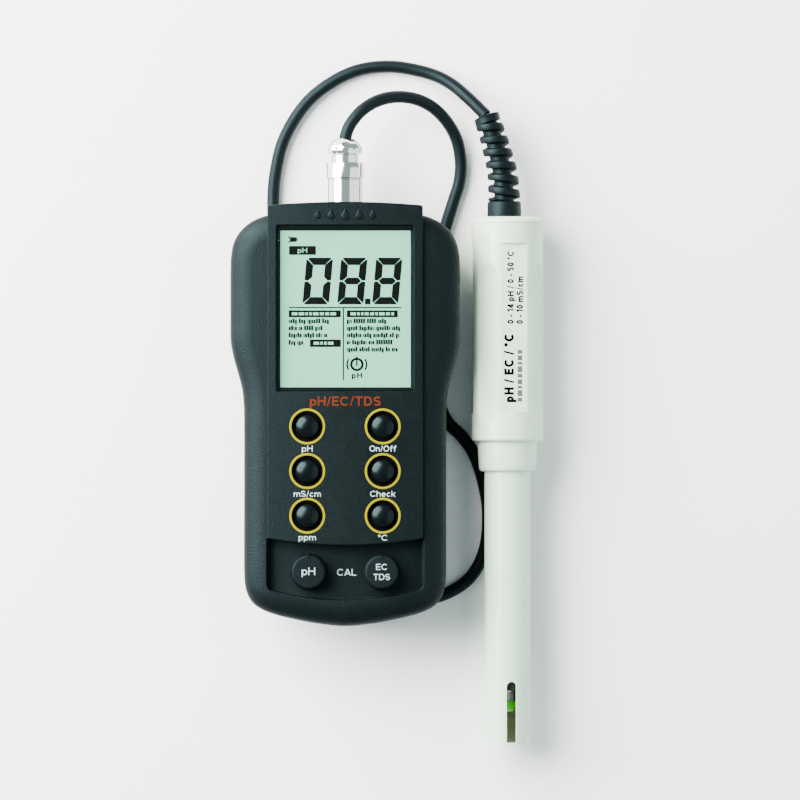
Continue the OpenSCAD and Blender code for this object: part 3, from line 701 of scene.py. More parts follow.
# the tray ends at the panel's lower edge: keep the panel out of the tool
keep = prism("k", [(-40, -32.62)] + parab(27.2, -32.62, -2.4) + [(40, -32.62), (40, 0), (-40, 0)], [(20, 0), (60, 0)])
boolean(tray_tool, keep)
boolean(shell, tray_tool)
tools = [prism("t", round_poly(rect(-24, 24, 18.7, 76.9), 0.7, 4), [(33.0, 0.0), (PZ - 0.55, 0.0), (PZ - 0.12, -0.12), (PZ + 0.02, -0.42), (40, -0.42)])]
for x, y in KEYS:
    tools.append(lathe("t", [(30.0, 0), (30.0, 5.6), (33.0, 5.6), (33.0, 4.18), (34.6, 4.18), (34.75, 4.3), (34.8, 4.5), (34.8, 5.1), (34.95, 5.42), (PZ - 0.2, 5.42), (PZ - 0.2, 6.35),
                             (PZ - 0.02, 6.37), (PZ + 0.1, 6.5), (38, 6.5), (38, 0)], "Z", (x, y, 0), 64))
boolean(shell, join("t", tools))
# hollow inside
hollow = case_loft("t", [(10, 2.4), (28.4, 2.4)])
boolean(shell, hollow)
hollow2 = prism("t", rect(-26.2, 26.2, -30.4, 79.0), [(28.0, 0), (33.4, 0)])
boolean(shell, hollow2)
tools = [lathe("t", [(26, 0), (26, 3.4), (32, 3.4), (32, 0)], "Z", (x, y, 0), 48) for x, y in KNOBS]
tools.append(lathe("t", [(70, 0), (70, 6.05), (90, 6.05), (90, 0)], "Y", (0, 0, SZ), 64))
boolean(shell, join("t", tools))


def emblem():
    """five plain drops in a row, standing out of the top strip"""
    out = []
    for k, cx in enumerate((-9.6, -4.9, 0.0, 4.9, 9.6)):
        s = 1.0 if k == 2 else (0.9 if k in (1, 3) else 0.78)
        pts = []
        for a in range(0, 360, 12):
            w = math.radians(a)
            x, y = 1.5 * s * math.cos(w), 1.5 * s * math.sin(w)
            if y > 0:
                y *= 1.0 + 1.05 * (1 - abs(math.cos(w))) ** 1.2
                x *= 1.0 - 0.55 * min(1.0, y / (3.1 * s)) ** 1.5
            pts.append((x, y))
        rings = []
        for z, f in ((-0.15, 1.0), (0.05, 1.0), (0.22, 0.95), (0.36, 0.82), (0.44, 0.6), (0.47, 0.3), (0.475, 0.05)):
            rings.append([(cx + x * f, 80.1 + (y - 0.5) * f + 0.5, PZ + z) for x, y in pts])
        out.append(loft("e", rings, 40))
    return out


finish_piece(join("emblem_drops", emblem()), "meter", MAT["case_dark"], [])
clean(shell, 0.003)
smooth(shell, 32)
even_normals(shell)
finish_piece(shell, "meter", MAT["case_dark"], ["front_case"])

# ---------------------------------------------------------------- rear case
rear = case_loft("rear_shell", [(9.6, 8.0), (9.75, 6.4), (10.2, 4.6), (11.0, 3.1), (12.2, 1.9), (14.0, 0.95), (16.4, 0.35), (18.4, 0.06), (20.0, 0.0), (SEAM - 0.28, 0.0), (SEAM - 0.02, 0.22)])
hump_pts = round_poly(rect(-17.5, 17.5, -34, 34), 12.0, 12)
hump = prism("t", hump_pts, [(0.0, 1.4), (0.12, 0.8), (0.5, 0.25), (1.3, 0.0), (12.0, 0.0)])
boolean(rear, hump, "UNION")
boolean(rear, prism("t", rect(-14.6, 14.6, -28, 30.5), [(-1, -0.3), (0.0, -0.3), (0.35, 0), (20.4, 0)]))
tools = [lathe("t", [(5, 0), (5, 3.3), (9.6, 3.15), (12.5, 3.0), (12.5, 0)], "Z", (x, y, 0), 40) for x, y in ((-31.2, 60), (31.2, 60), (-29.6, -50), (29.6, -50))]
tools.append(lathe("t", [(70, 0), (70, 6.05), (90, 6.05), (90, 0)], "Y", (0, 0, SZ), 64))
boolean(rear, join("t", tools))
for s in (-1, 1):
    boolean(rear, lathe("t", [(13.8, 0), (13.8, 0.87), (16.1, 0.87), (16.1, 0)] if s > 0 else [(-16.1, 0), (-16.1, 0.87), (-13.8, 0.87), (-13.8, 0)], "X", (0, 28.6, 1.2), 32))
clean(rear, 0.003)
smooth(rear, 32)
even_normals(rear)
finish_piece(rear, "meter", M_REAR, ["rear_case"])

# ---------------------------------------------------------------- battery door
door = prism("door_panel", round_poly(rect(-14.2, 14.2, -27.6, 29.5), 0.5, 4), [(0.0, 0.35), (0.1, 0.12), (0.35, 0.0), (1.7, 0.0)])
tools = [prism("t", round_poly(rect(-7.5 + 0.4 * i, 7.5 - 0.4 * i, -24.6 + 2 * i, -23.6 + 2 * i), 0.45, 4), [(-1, -0.25), (0, -0.25), (0.25, 0.0), (0.6, 0.25)]) for i in range(4)]
boolean(door, join("t", tools))
pins = [lathe("t", [(s * 13.9, 0), (s * 13.9, 0.8), (s * 15.35, 0.8), (s * 15.5, 0.65), (s * 15.5, 0)], "X", (0, 28.6, 1.2), 32) for s in (-1, 1)]
for p in pins:
    fix_normals(p)
    boolean(door, p, "UNION")
smooth(door, 32)
even_normals(door)
finish_piece(door, "battery_door_body", M_REAR, ["battery_door"])

# ---------------------------------------------------------------- keys and their rings
dome_h, key_top, key_low, key_r = 1.3, 37.6, 31.0, 4.1
dome_R = (key_r ** 2 + dome_h ** 2) / (2 * dome_h)
key_nodes = ["key_ph", "key_power", "key_ms", "key_check", "key_ppm", "key_temp"]
for name, (x, y) in zip(key_nodes, KEYS):
    prof = [(key_low, 0), (key_low, 2.9), (31.8, 5.0), (32.7, 5.0), (32.7, key_r), (key_top - dome_h - 0.35, key_r), (key_top - dome_h - 0.1, key_r - 0.05)]
    for k in range(1, 13):
        a = math.asin((key_r - 0.18) / dome_R) * (1 - k / 12)
        prof.append((key_top - dome_R + dome_R * math.cos(a) - 0.0, dome_R * math.sin(a)))
    ob = lathe("cap_" + name, prof, "Z", (x, y, 0), 64, angle=50)
    finish_piece(ob, name + "_body", MAT["key_black"], [name])
tools = []
for x, y in KEYS:
    tools.append(lathe("r", [(PZ - 0.2, 5.50), (PZ + 0.05, 5.50), (PZ + 0.10, 5.56), (PZ + 0.12, 5.66), (PZ + 0.12, 6.10), (PZ + 0.1, 6.22), (PZ + 0.05, 6.28), (PZ - 0.2, 6.28)], "Z", (x, y, 0), 80, closed=True))
rings_ob = join("yellow_rings", tools)
finish_piece(rings_ob, "meter", MAT["ring_yellow"], ["key_rings"])
# near-black ring in each key's well: painted shade of the recess between dome and yellow ring
tools = []
for x, y in KEYS:
    tools.append(lathe("r", [(PZ - 1.17, 4.25), (PZ - 1.12, 4.3), (PZ - 1.12, 5.08), (PZ - 1.0, 5.32), (PZ - 0.02, 5.36), (PZ - 0.02, 5.41), (PZ - 1.0, 5.40), (PZ - 1.19, 5.06)], "Z", (x, y, 0), 64, closed=True))
well_shade_ring = join("key_well_painted_shade", tools)
finish_piece(well_shade_ring, "meter", M_RECESS_PAINTED_SHADE, [])


# ---------------------------------------------------------------- knobs
def knob_mesh(name, x, y):
    low, top = TZ + 0.6, 36.6
    n, teeth = 336, 42
    levels = [(low, 6.1, 0.0), (low + 0.15, 6.38, 1.0), (low + 2.6, 6.38, 1.0), (low + 3.0, 6.3, 1.0), (low + 3.25, 6.02, 0.4), (low + 3.5, 5.9, 0.0), (top - 0.55, 5.78, 0.0), (top - 0.3, 5.74, 0.0), (top - 0.12, 5.62, 0.0), (top - 0.02, 5.4, 0.0), (top, 5.1, 0.0)]
    verts, faces = [], []
    for z, r, k in levels:
        for i in range(n):
            w = 2 * math.pi * i / n
            ph = (w * teeth / (2 * math.pi)) % 1.0
            d = abs(ph - 0.5) * 2
            cut = 0.34 * k * max(0.0, (d - 0.35) / 0.65) ** 0.8
            rr = r - cut
            verts.append((x + rr * math.cos(w), y + rr * math.sin(w), z))
    m = len(levels)
    for k in range(m - 1):
        for i in range(n):
            j = (i + 1) % n
            faces.append((k * n + i, k * n + j, (k + 1) * n + j, (k + 1) * n + i))
    c0 = len(verts)
    verts.append((x, y, low))
    c1 = len(verts)
    verts.append((x, y, top - 0.02))
    for i in range(n):
        j = (i + 1) % n
        faces.append((c0, j, i))
        faces.append((c1, (m - 1) * n + i, (m - 1) * n + j))
    ob = new_mesh(name, verts, faces, 40)
    fix_normals(ob)
    # pointer fin at twelve o'clock, from the disc's rim out over the skirt
    fin = prism("t", [(x - 0.32, y + 5.1), (x + 0.32, y + 5.1), (x + 0.16, y + 6.15), (x - 0.16, y + 6.15)], [(low + 2.0, 0.0), (top + 0.28, 0.0), (top + 0.42, 0.1)])
    boolean(ob, fin, "UNION")
    boolean(ob, lathe("t", [(20, 0), (20, 2.03), (top - 1.5, 2.03), (top - 1.5, 0)], "Z", (x, y, 0), 48))
    smooth(ob, 38)
    return ob


for name, node, (x, y) in (("knob_left", "knob_ph", KNOBS[0]), ("knob_right", "knob_ec", KNOBS[1])):
    ob = knob_mesh(name, x, y)
    finish_piece(ob, node + "_body", MAT["knob_dark"], [node])


# ---------------------------------------------------------------- display
frame_ob = prism("display_bezel", rect(-26, 26, 16.7, 78.8), [(33.6, 0.0), (34.6, 0.0)])
boolean(frame_ob, prism("t", round_poly(rect(-22.7, 22.9, 20.2, 75.0), 0.3, 3), [(33, 0.0), (33.7, 0.0), (34.5, -0.7), (34.61, -0.9), (36, -0.9)]))
smooth(frame_ob, 30)
even_normals(frame_ob)
finish_piece(frame_ob, "meter", MAT["frame_black"], ["display_frame"])
window = prism("display_pane", round_poly(rect(-23.85, 23.85, 18.85, 76.75), 0.6, 4), [(34.7, 0.1), (34.8, 0.0), (35.4, 0.0), (35.52, 0.05), (35.6, 0.2)])
finish_piece(window, "meter", MAT["window_clear"], ["display_window"])

LZ = 33.57


def flat(pts, z=LZ, t=0.03):
    return prism("s", pts, [(z, 0.0), (z + t, 0.0)])


def ccw(pts):
    a = sum(p[0] * q[1] - q[0] * p[1] for p, q in zip(pts, pts[1:] + pts[:1]))
    return pts if a > 0 else list(reversed(pts))


def digit(x0, y0, w, h, t, segs, slant):
    """seven-segment digit with mitred bars"""
    g = 0.13
    mid = y0 + h / 2
    bars = {
        "a": [(x0 + g * 2.2, y0 + h), (x0 + w - g * 2.2, y0 + h), (x0 + w - t - g * 0.4, y0 + h - t), (x0 + t + g * 0.4, y0 + h - t)],
        "d": [(x0 + g * 2.2, y0), (x0 + w - g * 2.2, y0), (x0 + w - t - g * 0.4, y0 + t), (x0 + t + g * 0.4, y0 + t)],
        "g": [(x0 + t * 0.55 + g, mid), (x0 + t + g, mid + t * 0.46), (x0 + w - t - g, mid + t * 0.46), (x0 + w - t * 0.55 - g, mid), (x0 + w - t - g, mid - t * 0.46), (x0 + t + g, mid - t * 0.46)],
        "f": [(x0, y0 + h - g * 2.2), (x0 + t, y0 + h - t - g * 0.6), (x0 + t, mid + t * 0.5 + g), (x0 + t * 0.45, mid + g * 1.2), (x0, mid + g * 2.4)],
        "e": [(x0, y0 + g * 2.2), (x0 + t, y0 + t + g * 0.6), (x0 + t, mid - t * 0.5 - g), (x0 + t * 0.45, mid - g * 1.2), (x0, mid - g * 2.4)],
        "b": [(x0 + w, y0 + h - g * 2.2), (x0 + w - t, y0 + h - t - g * 0.6), (x0 + w - t, mid + t * 0.5 + g), (x0 + w - t * 0.45, mid + g * 1.2), (x0 + w, mid + g * 2.4)],
        "c": [(x0 + w, y0 + g * 2.2), (x0 + w - t, y0 + t + g * 0.6), (x0 + w - t, mid - t * 0.5 - g), (x0 + w - t * 0.45, mid - g * 1.2), (x0 + w, mid - g * 2.4)],
    }
    out = []
    for s in segs:
        pts = [(x + (y - y0) * slant, y) for x, y in bars[s]]
        out.append(flat(round_poly(ccw(pts), 0.25, 3, 40)))
    return out


ink = []
SL = 1.5 / 16.3
ink += digit(-14.95, 49.2, 9.25, 16.3, 2.55, "abcdef", SL)
ink += digit(-2.8, 49.2, 9.15, 16.3, 2.55, "abcdefg", SL)
ink += digit(9.4, 49.2, 9.15, 16.3, 2.55, "abcdefg", SL)
ink.append(flat(round_poly(rect(6.95, 8.85, 49.2, 51.2), 0.2, 3)))
ink.append(flat(rect(-19.7, 19.7, 47.85, 48.27)))
ink.append(flat(rect(-0.82, -0.40, 22.6, 47.95)))
ink.append(flat(rect(-19.6, -10.2, 66.5, 69.6)))
ink.append(flat(rect(-19.7, -1.5, 44.7, 47.1)))
ink.append(flat(rect(0.6, 18.4, 44.7, 47.1)))
ink.append(flat(rect(-12.3, -1.5, 34.3, 36.9)))
# battery sign
ink.append(flat(rect(-19.3, -17.1, 71.0, 72.7)))
ink.append(flat(rect(-19.85, -19.38, 70.7, 71.45)))
ink.append(flat(rect(-19.85, -19.38, 72.25, 73.0)))
ink.append(flat(rect(-17.04, -16.65, 71.3, 72.4)))
# knob sign: ring, pointer, brackets
ink.append(lathe("s", [(LZ, 1.56), (LZ, 2.36), (LZ + 0.03, 2.36), (LZ + 0.03, 1.56)], "Z", (4.1, 28.2, 0), 48, closed=True))
ink.append(flat(rect(3.84, 4.36, 27.6, 31.1)))
for s in (-1, 1):
    o = arc_pts(4.1, 28.2, 3.68, -33, 33, 10)
    i = arc_pts(4.1, 28.2, 3.12, 33, -33, 10)
    pts = o + i
    if s < 0:
        pts = [(8.2 - x, y) for x, y in pts]
    ink.append(flat(ccw(pts)))


def greek(rows, x0, x1, y, h, seed):
    """rows of small blocks in place of small print"""
    out = []
    k = seed
    for r in range(rows):
        x = x0
        yy = y - r * 2.47
        end = x1 - [0.4, 2.8, 1.2, 3.6, 0.2][(r + seed) % 5]
        while x < end - 1.2:
            k = (k * 37 + 11) % 97
            for c in range(2 + k % 6):
                if x > end - 0.45:
                    break
                q = (k * (c + 3)) % 7
                up = 0.42 if q in (0, 3) else 0.0
                down = 0.36 if q == 5 else 0.0
                wide = 0.36 if q in (2, 6) else 0.66
                out.append(flat(rect(x, x + wide, yy - down, yy + h * 1.02 + up)))
                x += wide + 0.17
            x += 0.50
    return out


ink += greek(3, -19.7, -5.0, 42.6, 1.2, 5)
ink += greek(1, -19.7, -13.6, 35.1, 1.2, 2)
ink += greek(5, 0.6, 19.6, 42.6, 1.2, 3)
lcd_ink = join("display_segments", ink)
finish_piece(lcd_ink, "meter", M_LCD_INK, [])

# ---------------------------------------------------------------- lettering (units and plain functions only)

def bow(cx, cy, rx, ry, a0, a1, n=16):
    return [(cx + rx * math.cos(math.radians(a0 + (a1 - a0) * k / n)), cy + ry * math.sin(math.radians(a0 + (a1 - a0) * k / n))) for k in range(n + 1)]


def loop(cx, cy, rx, ry, n=28):
    return [(cx + rx * math.cos(2 * math.pi * k / n), cy + ry * math.sin(2 * math.pi * k / n)) for k in range(n)]


def glyph(ch, w):
    """plain letter shapes: (width, open strokes, closed strokes) with capitals 1 high"""
    s, X = w / 2, 0.72
    if ch == "H":
        return 0.78, [[(s, 0), (s, 1)], [(0.78 - s, 0), (0.78 - s, 1)], [(s, 0.53), (0.78 - s, 0.53)]], []
    if ch == "C":
        return 0.84, [bow(0.45, 0.5, 0.45 - s, 0.5 - s, 42, 318, 24)], []
    if ch == "O":
        return 0.92, [], [loop(0.46, 0.5, 0.46 - s, 0.5 - s)]
    if ch == "0":
        return 0.62, [], [loop(0.31, 0.5, 0.31 - s, 0.5 - s)]
    if ch == "D":
        return 0.80, [], [[(s, s), (0.34, s)] + bow(0.34, 0.5, 0.46 - s, 0.5 - s, -80, 80, 14) + [(0.34, 1 - s), (s, 1 - s)]]
    if ch == "S":
        q = (1 - w) / 4
        return 0.72, [bow(0.36, 0.5 + q, 0.36 - s, q, 28, 262, 16) + bow(0.36, 0.5 - q, 0.36 - s, q, 82, -152, 16)], []
    if ch == "E":
        return 0.66, [[(s, 0), (s, 1)], [(s, s), (0.66, s)], [(s, 0.52), (0.61, 0.52)], [(s, 1 - s), (0.65, 1 - s)]], []
    if ch == "T":
        return 0.74, [[(0, 1 - s), (0.74, 1 - s)], [(0.37, 0), (0.37, 1 - s)]], []
    if ch == "A":
        return 0.86, [[(s * 0.9, 0), (0.43, 1 - s * 0.6)], [(0.86 - s * 0.9, 0), (0.43, 1 - s * 0.6)], [(0.18, 0.29), (0.68, 0.29)]], []
    if ch == "L":
        return 0.62, [[(s, 1), (s, 0)], [(s, s), (0.62, s)]], []
    if ch == "p":
        return 0.64, [[(s, -0.27), (s, X)]], [loop(0.33, X / 2, 0.31 - s, X / 2 - s)]
    if ch == "n":
        r = (0.62 - w) / 2
        return 0.62, [[(s, 0), (s, X)], bow(0.31, X - s - r, r, r, 165, 0, 12) + [(0.62 - s, 0)]], []
    if ch == "h":
        r = (0.62 - w) / 2
        return 0.62, [[(s, 0), (s, 1)], bow(0.31, X - s - r, r, r, 165, 0, 12) + [(0.62 - s, 0)]], []
    if ch == "m":
        r = (0.98 - w) / 4
        return 0.98, [[(s, 0), (s, X)], bow(s + r, X - s - r, r, r, 165, 0, 12) + [(s + 2 * r, 0)], bow(s + 3 * r, X - s - r, r, r, 165, 0, 12) + [(s + 4 * r, 0)]], []
    if ch == "f":
        return 0.44, [[(0.19, 0), (0.19, 0.74)] + bow(0.19 + 0.20, 0.80, 0.20, 0.20 - s, 172, 72, 8), [(0.0, X - s), (0.42, X - s)]], []
    if ch == "c":
        return 0.58, [bow(0.31, X / 2, 0.31 - s, X / 2 - s, 45, 315, 20)], []
    if ch == "e":
        return 0.62, [bow(0.31, X / 2, 0.31 - s, X / 2 - s, 0, 318, 22), [(s, X / 2 - 0.01), (0.62 - s * 0.4, X / 2 - 0.01)]], []
    if ch == "k":
        return 0.62, [[(s, 0), (s, 1)], [(s, 0.26), (0.55, X)], [(0.26, 0.42), (0.56, 0)]], []
    if ch == "1":
        return 0.42, [[(0.42 - s, 0), (0.42 - s, 1)], [(0.04, 0.74), (0.42 - s, 0.95)]], []
    if ch == "4":
        return 0.66, [[(0.47, 0), (0.47, 1)], [(0.47, 0.95), (0.07, 0.29)], [(0.02, 0.27), (0.64, 0.27)]], []
    if ch == "5":
        return 0.60, [[(0.55, 1 - s), (0.13, 1 - s), (0.10, 0.50)], bow(0.29, 0.33, 0.31 - s, 0.33 - s, 130, -150, 16)], []
    if ch == "/":
        return 0.36, [[(0.04, -0.02), (0.32, 1.02)]], []
    if ch == "-":
        return 0.36, [[(0.0, 0.38), (0.36, 0.38)]], []
    if ch == "\u00b0":
        return 0.36, [], [loop(0.18, 0.82, 0.18 - s * 0.6, 0.18 - s * 0.6, 20)]
    return 0.16, [], []


def ribbon(P, w, closed, z0, z1, verts, faces):
    """a flat stroke of width w along the points"""
    P = [Vector(p) for p in P]
    n, base = len(P), len(verts)
    for i in range(n):
        d1 = (P[i] - P[i - 1]).normalized() if (closed or i > 0) else None
        d2 = (P[(i + 1) % n] - P[i]).normalized() if (closed or i < n - 1) else None
        d1, d2 = d1 or d2, d2 or d1
        n1, n2 = Vector((-d1.y, d1.x)), Vector((-d2.y, d2.x))
        o = (n1 + n2) * (w / 2 / max(0.5, 1 + n1.dot(n2)))
        a, b = P[i] + o, P[i] - o
        verts += [(a.x, a.y, z1), (b.x, b.y, z1), (b.x, b.y, z0), (a.x, a.y, z0)]
    for i in range(n if closed else n - 1):
        p, q = base + 4 * i, base + 4 * ((i + 1) % n)
        for k in range(4):
            faces.append((p + k, q + k, q + (k + 1) % 4, p + (k + 1) % 4))
    if not closed:
        e = base + 4 * (n - 1)
        faces.append((base, base + 1, base + 2, base + 3))
        faces.append((e + 3, e + 2, e + 1, e))


def text(s, x, y, h, z, mat, body, bold=0.19, rot=0.0, width=None, align="CENTER", thick=0.03, name=None, warp=None):
    gap = 0.08 + bold * 0.35
    run, at = [], 0.0
    for ch in s:
        adv, o, c = glyph(ch, bold)
        run.append((at, o, c, 0.72 if ch in "/\u00b0" else 1.0))
        at += adv + gap
    total = at - gap
    kx = h if width is None else width / total
    x0 = -total * kx / 2 if align == "CENTER" else 0.0
    verts, faces, k = [], [], 0
    c, sn = math.cos(math.radians(rot)), math.sin(math.radians(rot))

    def place(P, off):
        out = []
        for px, py in P:
            px, py = x0 + (off + px) * kx, py * h
            out.append((x + px * c - py * sn, y + px * sn + py * c))
        return out

    for off, opens, closes, f in run:
        for P, closed in [(o, False) for o in opens] + [(q, True) for q in closes]:
            ribbon(place(P, off), bold * h * f, closed, z - 0.01, z + thick + 0.0006 * (k % 5), verts, faces)
            k += 1
    o = new_mesh(name or "txt", verts, faces, 30)
    fix_normals(o)
    if warp:
        o.data.transform(warp)
    if body:
        finish_piece(o, body, mat, [])
    return o


LAB = [("pH", -KX, -2.25, 3.8), ("On/Off", KX, -2.25, 9.3), ("mS/cm", -KX, -18.05, 9.5), ("Check", KX, -18.05, 8.9), ("ppm", -KX, -33.25, 6.1), ("°C", KX, -33.4, 3.3)]
labels = [text(s, x, y, 2.05, PZ + 0.005, None, None, bold=0.128, width=w) for s, x, y, w in LAB]
finish_piece(join("key_labels", labels), "meter", M_INK_WHITE, [])
o = text("CAL", 0.55, -45.7, 2.35, TZ + 0.005, None, None, bold=0.12, width=6.7)
o.name = "cal_label"
finish_piece(o, "meter", M_INK_WHITE, [])
o = text("pH", KNOBS[0][0], -45.4, 2.65, 36.585, None, None, bold=0.12, width=4.7)
o.name = "knob_label_left"
finish_piece(o, "knob_ph_body", M_INK_WHITE, [])
o = join("knob_label_right", [text("EC", KNOBS[1][0], -43.6, 2.1, 36.585, None, None, bold=0.125, width=3.9), text("TDS", KNOBS[1][0], -47.1, 2.1, 36.585, None, None, bold=0.125, width=5.8)])
finish_piece(o, "knob_ec_body", M_INK_WHITE, [])
o = text("pH/EC/TDS", 0.1, 13.7, 3.3, PZ + 0.005, None, None, bold=0.17, width=24.8)
o.name = "range_label"
finish_piece(o, "meter", M_INK_ORANGE, [])
pale = [text("pH", -14.9, 67.2, 1.75, LZ + 0.031, None, None, bold=0.13, thick=0.015, width=3.3)]
for x0, x1, y0 in ((-18.6, -2.6, 45.3), (1.9, 17.1, 45.3), (-11.0, -2.8, 35.0)):
    x = x0
    k = int(abs(x0) * 10)
    while x < x1 - 0.8:
        k = (k * 31 + 7) % 89
        w = min(0.8 + (k % 3) * 0.55, x1 - x)
        pale.append(flat(rect(x, x + w, y0 + 0.1, y0 + 1.1), LZ + 0.031, 0.015))
        x += w + 0.5
finish_piece(join("display_reversed_marks", pale), "meter", M_LCD_PALE, [])
o = text("pH", 4.15, 23.4, 2.0, LZ, None, None, bold=0.21, width=3.7)
o.name = "display_unit"
finish_piece(o, "meter", M_LCD_INK, [])

# ---------------------------------------------------------------- probe
PX, PZC, TURN = 57.0, 12.6, 10.5


def smin(a, b, k):
    h = max(k - abs(a - b), 0.0) / k
    return min(a, b) - h * h * k * 0.25


def handle_mesh():
    R = 12.6
    n = 240
    ys = []
    y = 1.3

    def span(a, b, step):
        c = max(1, int(round((b - a) / step)))
        return [a + (b - a) * k / c for k in range(c)]

    ys = [1.3, 1.34, 1.45, 1.65, 1.95, 2.3] + span(2.7, 9.5, 0.9) + span(9.5, 10.85, 0.25) + span(10.85, 11.15, 0.06) + span(11.15, 11.55, 0.2) + span(11.55, 11.95, 0.06) + span(11.95, 14, 0.3) + span(14, 62, 1.0) + span(62, 68.9, 0.4) + span(68.9, 69.5, 0.08) + span(69.5, 70.6, 0.4) + span(70.6, 71.0, 0.06) + span(71.0, 77.4, 0.8) + [77.6, 77.75, 77.88, 77.95, 78.0]

    def outer(y, w):
        r = R
        if y < 2.3:
            q = (2.3 - y) / 1.0
            r = R - 1.0 * (1 - math.sqrt(max(0.0, 1 - q * q)))
        if y > 77.75:
            r = R - (y - 77.75) ** 2 * 2.0
        # flat for the label, measured about the turned top
        a = w - math.radians(90 - TURN)
        a = (a + math.pi) % (2 * math.pi) - math.pi
        if 11.7 <= y <= 70.8 and abs(a) < 1.2:
            ff = (R - 1.08) / math.cos(a)
            r = min(r, ff)
        # shallow flats low on both sides
        for s in (-1, 1):
            b = w - math.radians(90 - TURN - s * 100)
            b = (b + math.pi) % (2 * math.pi) - math.pi
            if 11 <= y <= 69.3 and abs(b) < 1.0:
                r = min(r, (R - 0.5) / math.cos(b))
        # scoops
        for s in (-1, 1):
            b = w - math.radians(90 - TURN - s * 46)
            b = (b + math.pi) % (2 * math.pi) - math.pi
            if abs(b) > 0.6:
                continue
            C, Q = R + 16 - 1.5, 16.0
            yy = 0.0
            if y < 14:
                yy = 14 - y
            elif y > 57:
                yy = y - 57
            q2 = Q * Q - yy * yy
            if q2 <= 0:
                continue
            disc = q2 - (C * math.sin(b)) ** 2
            if disc <= 0:
                continue
            rr = C * math.cos(b) - math.sqrt(disc)
            r = smin(r, rr, 0.25)
        return r

    rows = []
    for y in ys:
        rows.append([(PX + outer(y, 2 * math.pi * i / n) * math.cos(2 * math.pi * i / n), y, PZC + outer(y, 2 * math.pi * i / n) * math.sin(2 * math.pi * i / n)) for i in range(n)])

    def circle(y, r):
        return [(PX + r * math.cos(2 * math.pi * i / n), y, PZC + r * math.sin(2 * math.pi * i / n)) for i in range(n)]

    rows += [circle(78.0, 10.4), circle(12.0, 10.4), circle(12.0, 8.12), circle(1.3, 8.12)]
    return loft("handle_shell", rows, 40, close=True)


handle = handle_mesh()
finish_piece(handle, "meter", MAT["probe_pale"], ["probe_handle"])
cap_prof = [(78.04, 10.3), (78.04, 12.3), (78.12, 12.5), (78.3, 12.58), (78.7, 12.5), (79.1, 12.25), (79.5, 11.85), (79.85, 11.3), (80.08, 10.7), (80.2, 9.9), (80.2, 0), ]
cap = lathe("handle_end_cap", [(78.04, 0)] + cap_prof, "Y", (PX, 0, PZC), 120, angle=40)
boolean(cap, lathe("t", [(76, 0), (76, 4.0), (84, 4.0), (84, 0)], "Y", (55.9, 0, PZC), 64))
spigot = lathe("s", [(71, 8.6), (71, 10.3), (78.06, 10.3), (78.06, 8.6)], "Y", (PX, 0, PZC), 96, closed=True)
cap = join("handle_end_cap", [cap, spigot])
smooth(cap, 35)
finish_piece(cap, "meter", MAT["probe_pale"], ["probe_cap"])

col = [(1.3, 8.14), (1.3, 10.5), (-1.0, 10.44), (-7.4, 10.05), (-8.3, 9.95), (-8.8, 9.78), (-9.15, 9.45), (-9.35, 9.0), (-9.4, 8.5), (-9.4, 8.14)]
lower = lathe("handle_collar", col, "Y", (PX, 0, PZC), 140, closed=True, angle=40)
finish_piece(lower, "meter", MAT["probe_pale"], ["probe_collar"])

sh = [(16, 6.6), (16, 8.1), (-40, 8.1), (-78, 8.1), (-81.5, 8.1), (-83, 8.1), (-84, 8.1), (-104.7, 7.92), (-105.0, 7.86), (-105.15, 7.7), (-105.2, 7.5), (-105.2, 6.9), (-105.12, 6.7), (-104.9, 6.6), (-84, 6.6), (-78, 6.6)]
shaft = lathe("shaft_tube", sh, "Y", (PX, 0, PZC), 160, closed=True, angle=40)


def slot_tool():
    pts = [(-1.75, -112.0), (1.75, -112.0)] + arc_pts(0, -85.05, 1.75, 0, 180, 20)
    t = prism("t", pts, [(0.0, 0.0), (6.9, 0.0), (7.75, 0.0), (7.95, -0.1), (8.08, -0.32), (8.2, -0.7), (12, -0.7)])
    t.data.transform(Matrix.Translation(Vector((PX * MM, 0, PZC * MM))) @ Matrix.Rotation(math.radians(TURN), 4, "Y"))
    return t


boolean(shaft, slot_tool())
clean(shaft, 0.003)
smooth(shaft, 35)
finish_piece(shaft, "meter", MAT["probe_pale"], ["probe_shaft"])
# faces inside the bore take the darker material: painted shade inside the guard
shaft.data.materials.append(M_BORE_PAINTED_SHADE)
for f in shaft.data.polygons:
    if all(math.hypot(shaft.data.vertices[v].co.x - PX * MM, shaft.data.vertices[v].co.z - PZC * MM) < 6.62 * MM for v in f.vertices):
        f.material_index = 1


def turned(ob):
    ob.data.transform(Matrix.Translation(Vector((PX * MM, 0, PZC * MM))) @ Matrix.Rotation(math.radians(TURN), 4, "Y"))
    return ob


label = turned(prism("label_plate", round_poly(rect(-4.75, 4.75, 12.3, 70.1), 0.6, 4), [(11.52, 0), (11.6, 0.0), (11.63, 0.04)]))
finish_piece(label, "meter", MAT["label_pale"], ["probe_label"])
WARP = Matrix.Translation(Vector((PX * MM, 0, PZC * MM))) @ Matrix.Rotation(math.radians(TURN), 4, "Y")
bold_marks = [text("pH / EC / °C", 0.0, 15.0, 3.45, 11.632, None, None, bold=0.262, rot=90, align="LEFT", width=24.0, warp=WARP),
              text("0 - 14 pH / 0 - 50 °C", 0.0, 42.5, 2.35, 11.632, None, None, bold=0.225, rot=90, align="LEFT", width=25.5, warp=WARP),
              text("0 - 10 mS/cm", 3.3, 42.5, 2.35, 11.632, None, None, bold=0.225, rot=90, align="LEFT", width=16.6, warp=WARP)]
finish_piece(join("label_units", bold_marks), "meter", M_INK_BLACK, [])
bars = []
y = 15.2
for k in range(9):
    w = (1.3, 2.1, 0.9, 1.7)[k % 4]
    bars.append(turned(prism("s", rect(1.35, 3.0, y, y + w), [(11.632, 0), (11.65, 0)])))
    y += w + 0.6
finish_piece(join("label_bars", bars), "meter", M_INK_GREY, [])

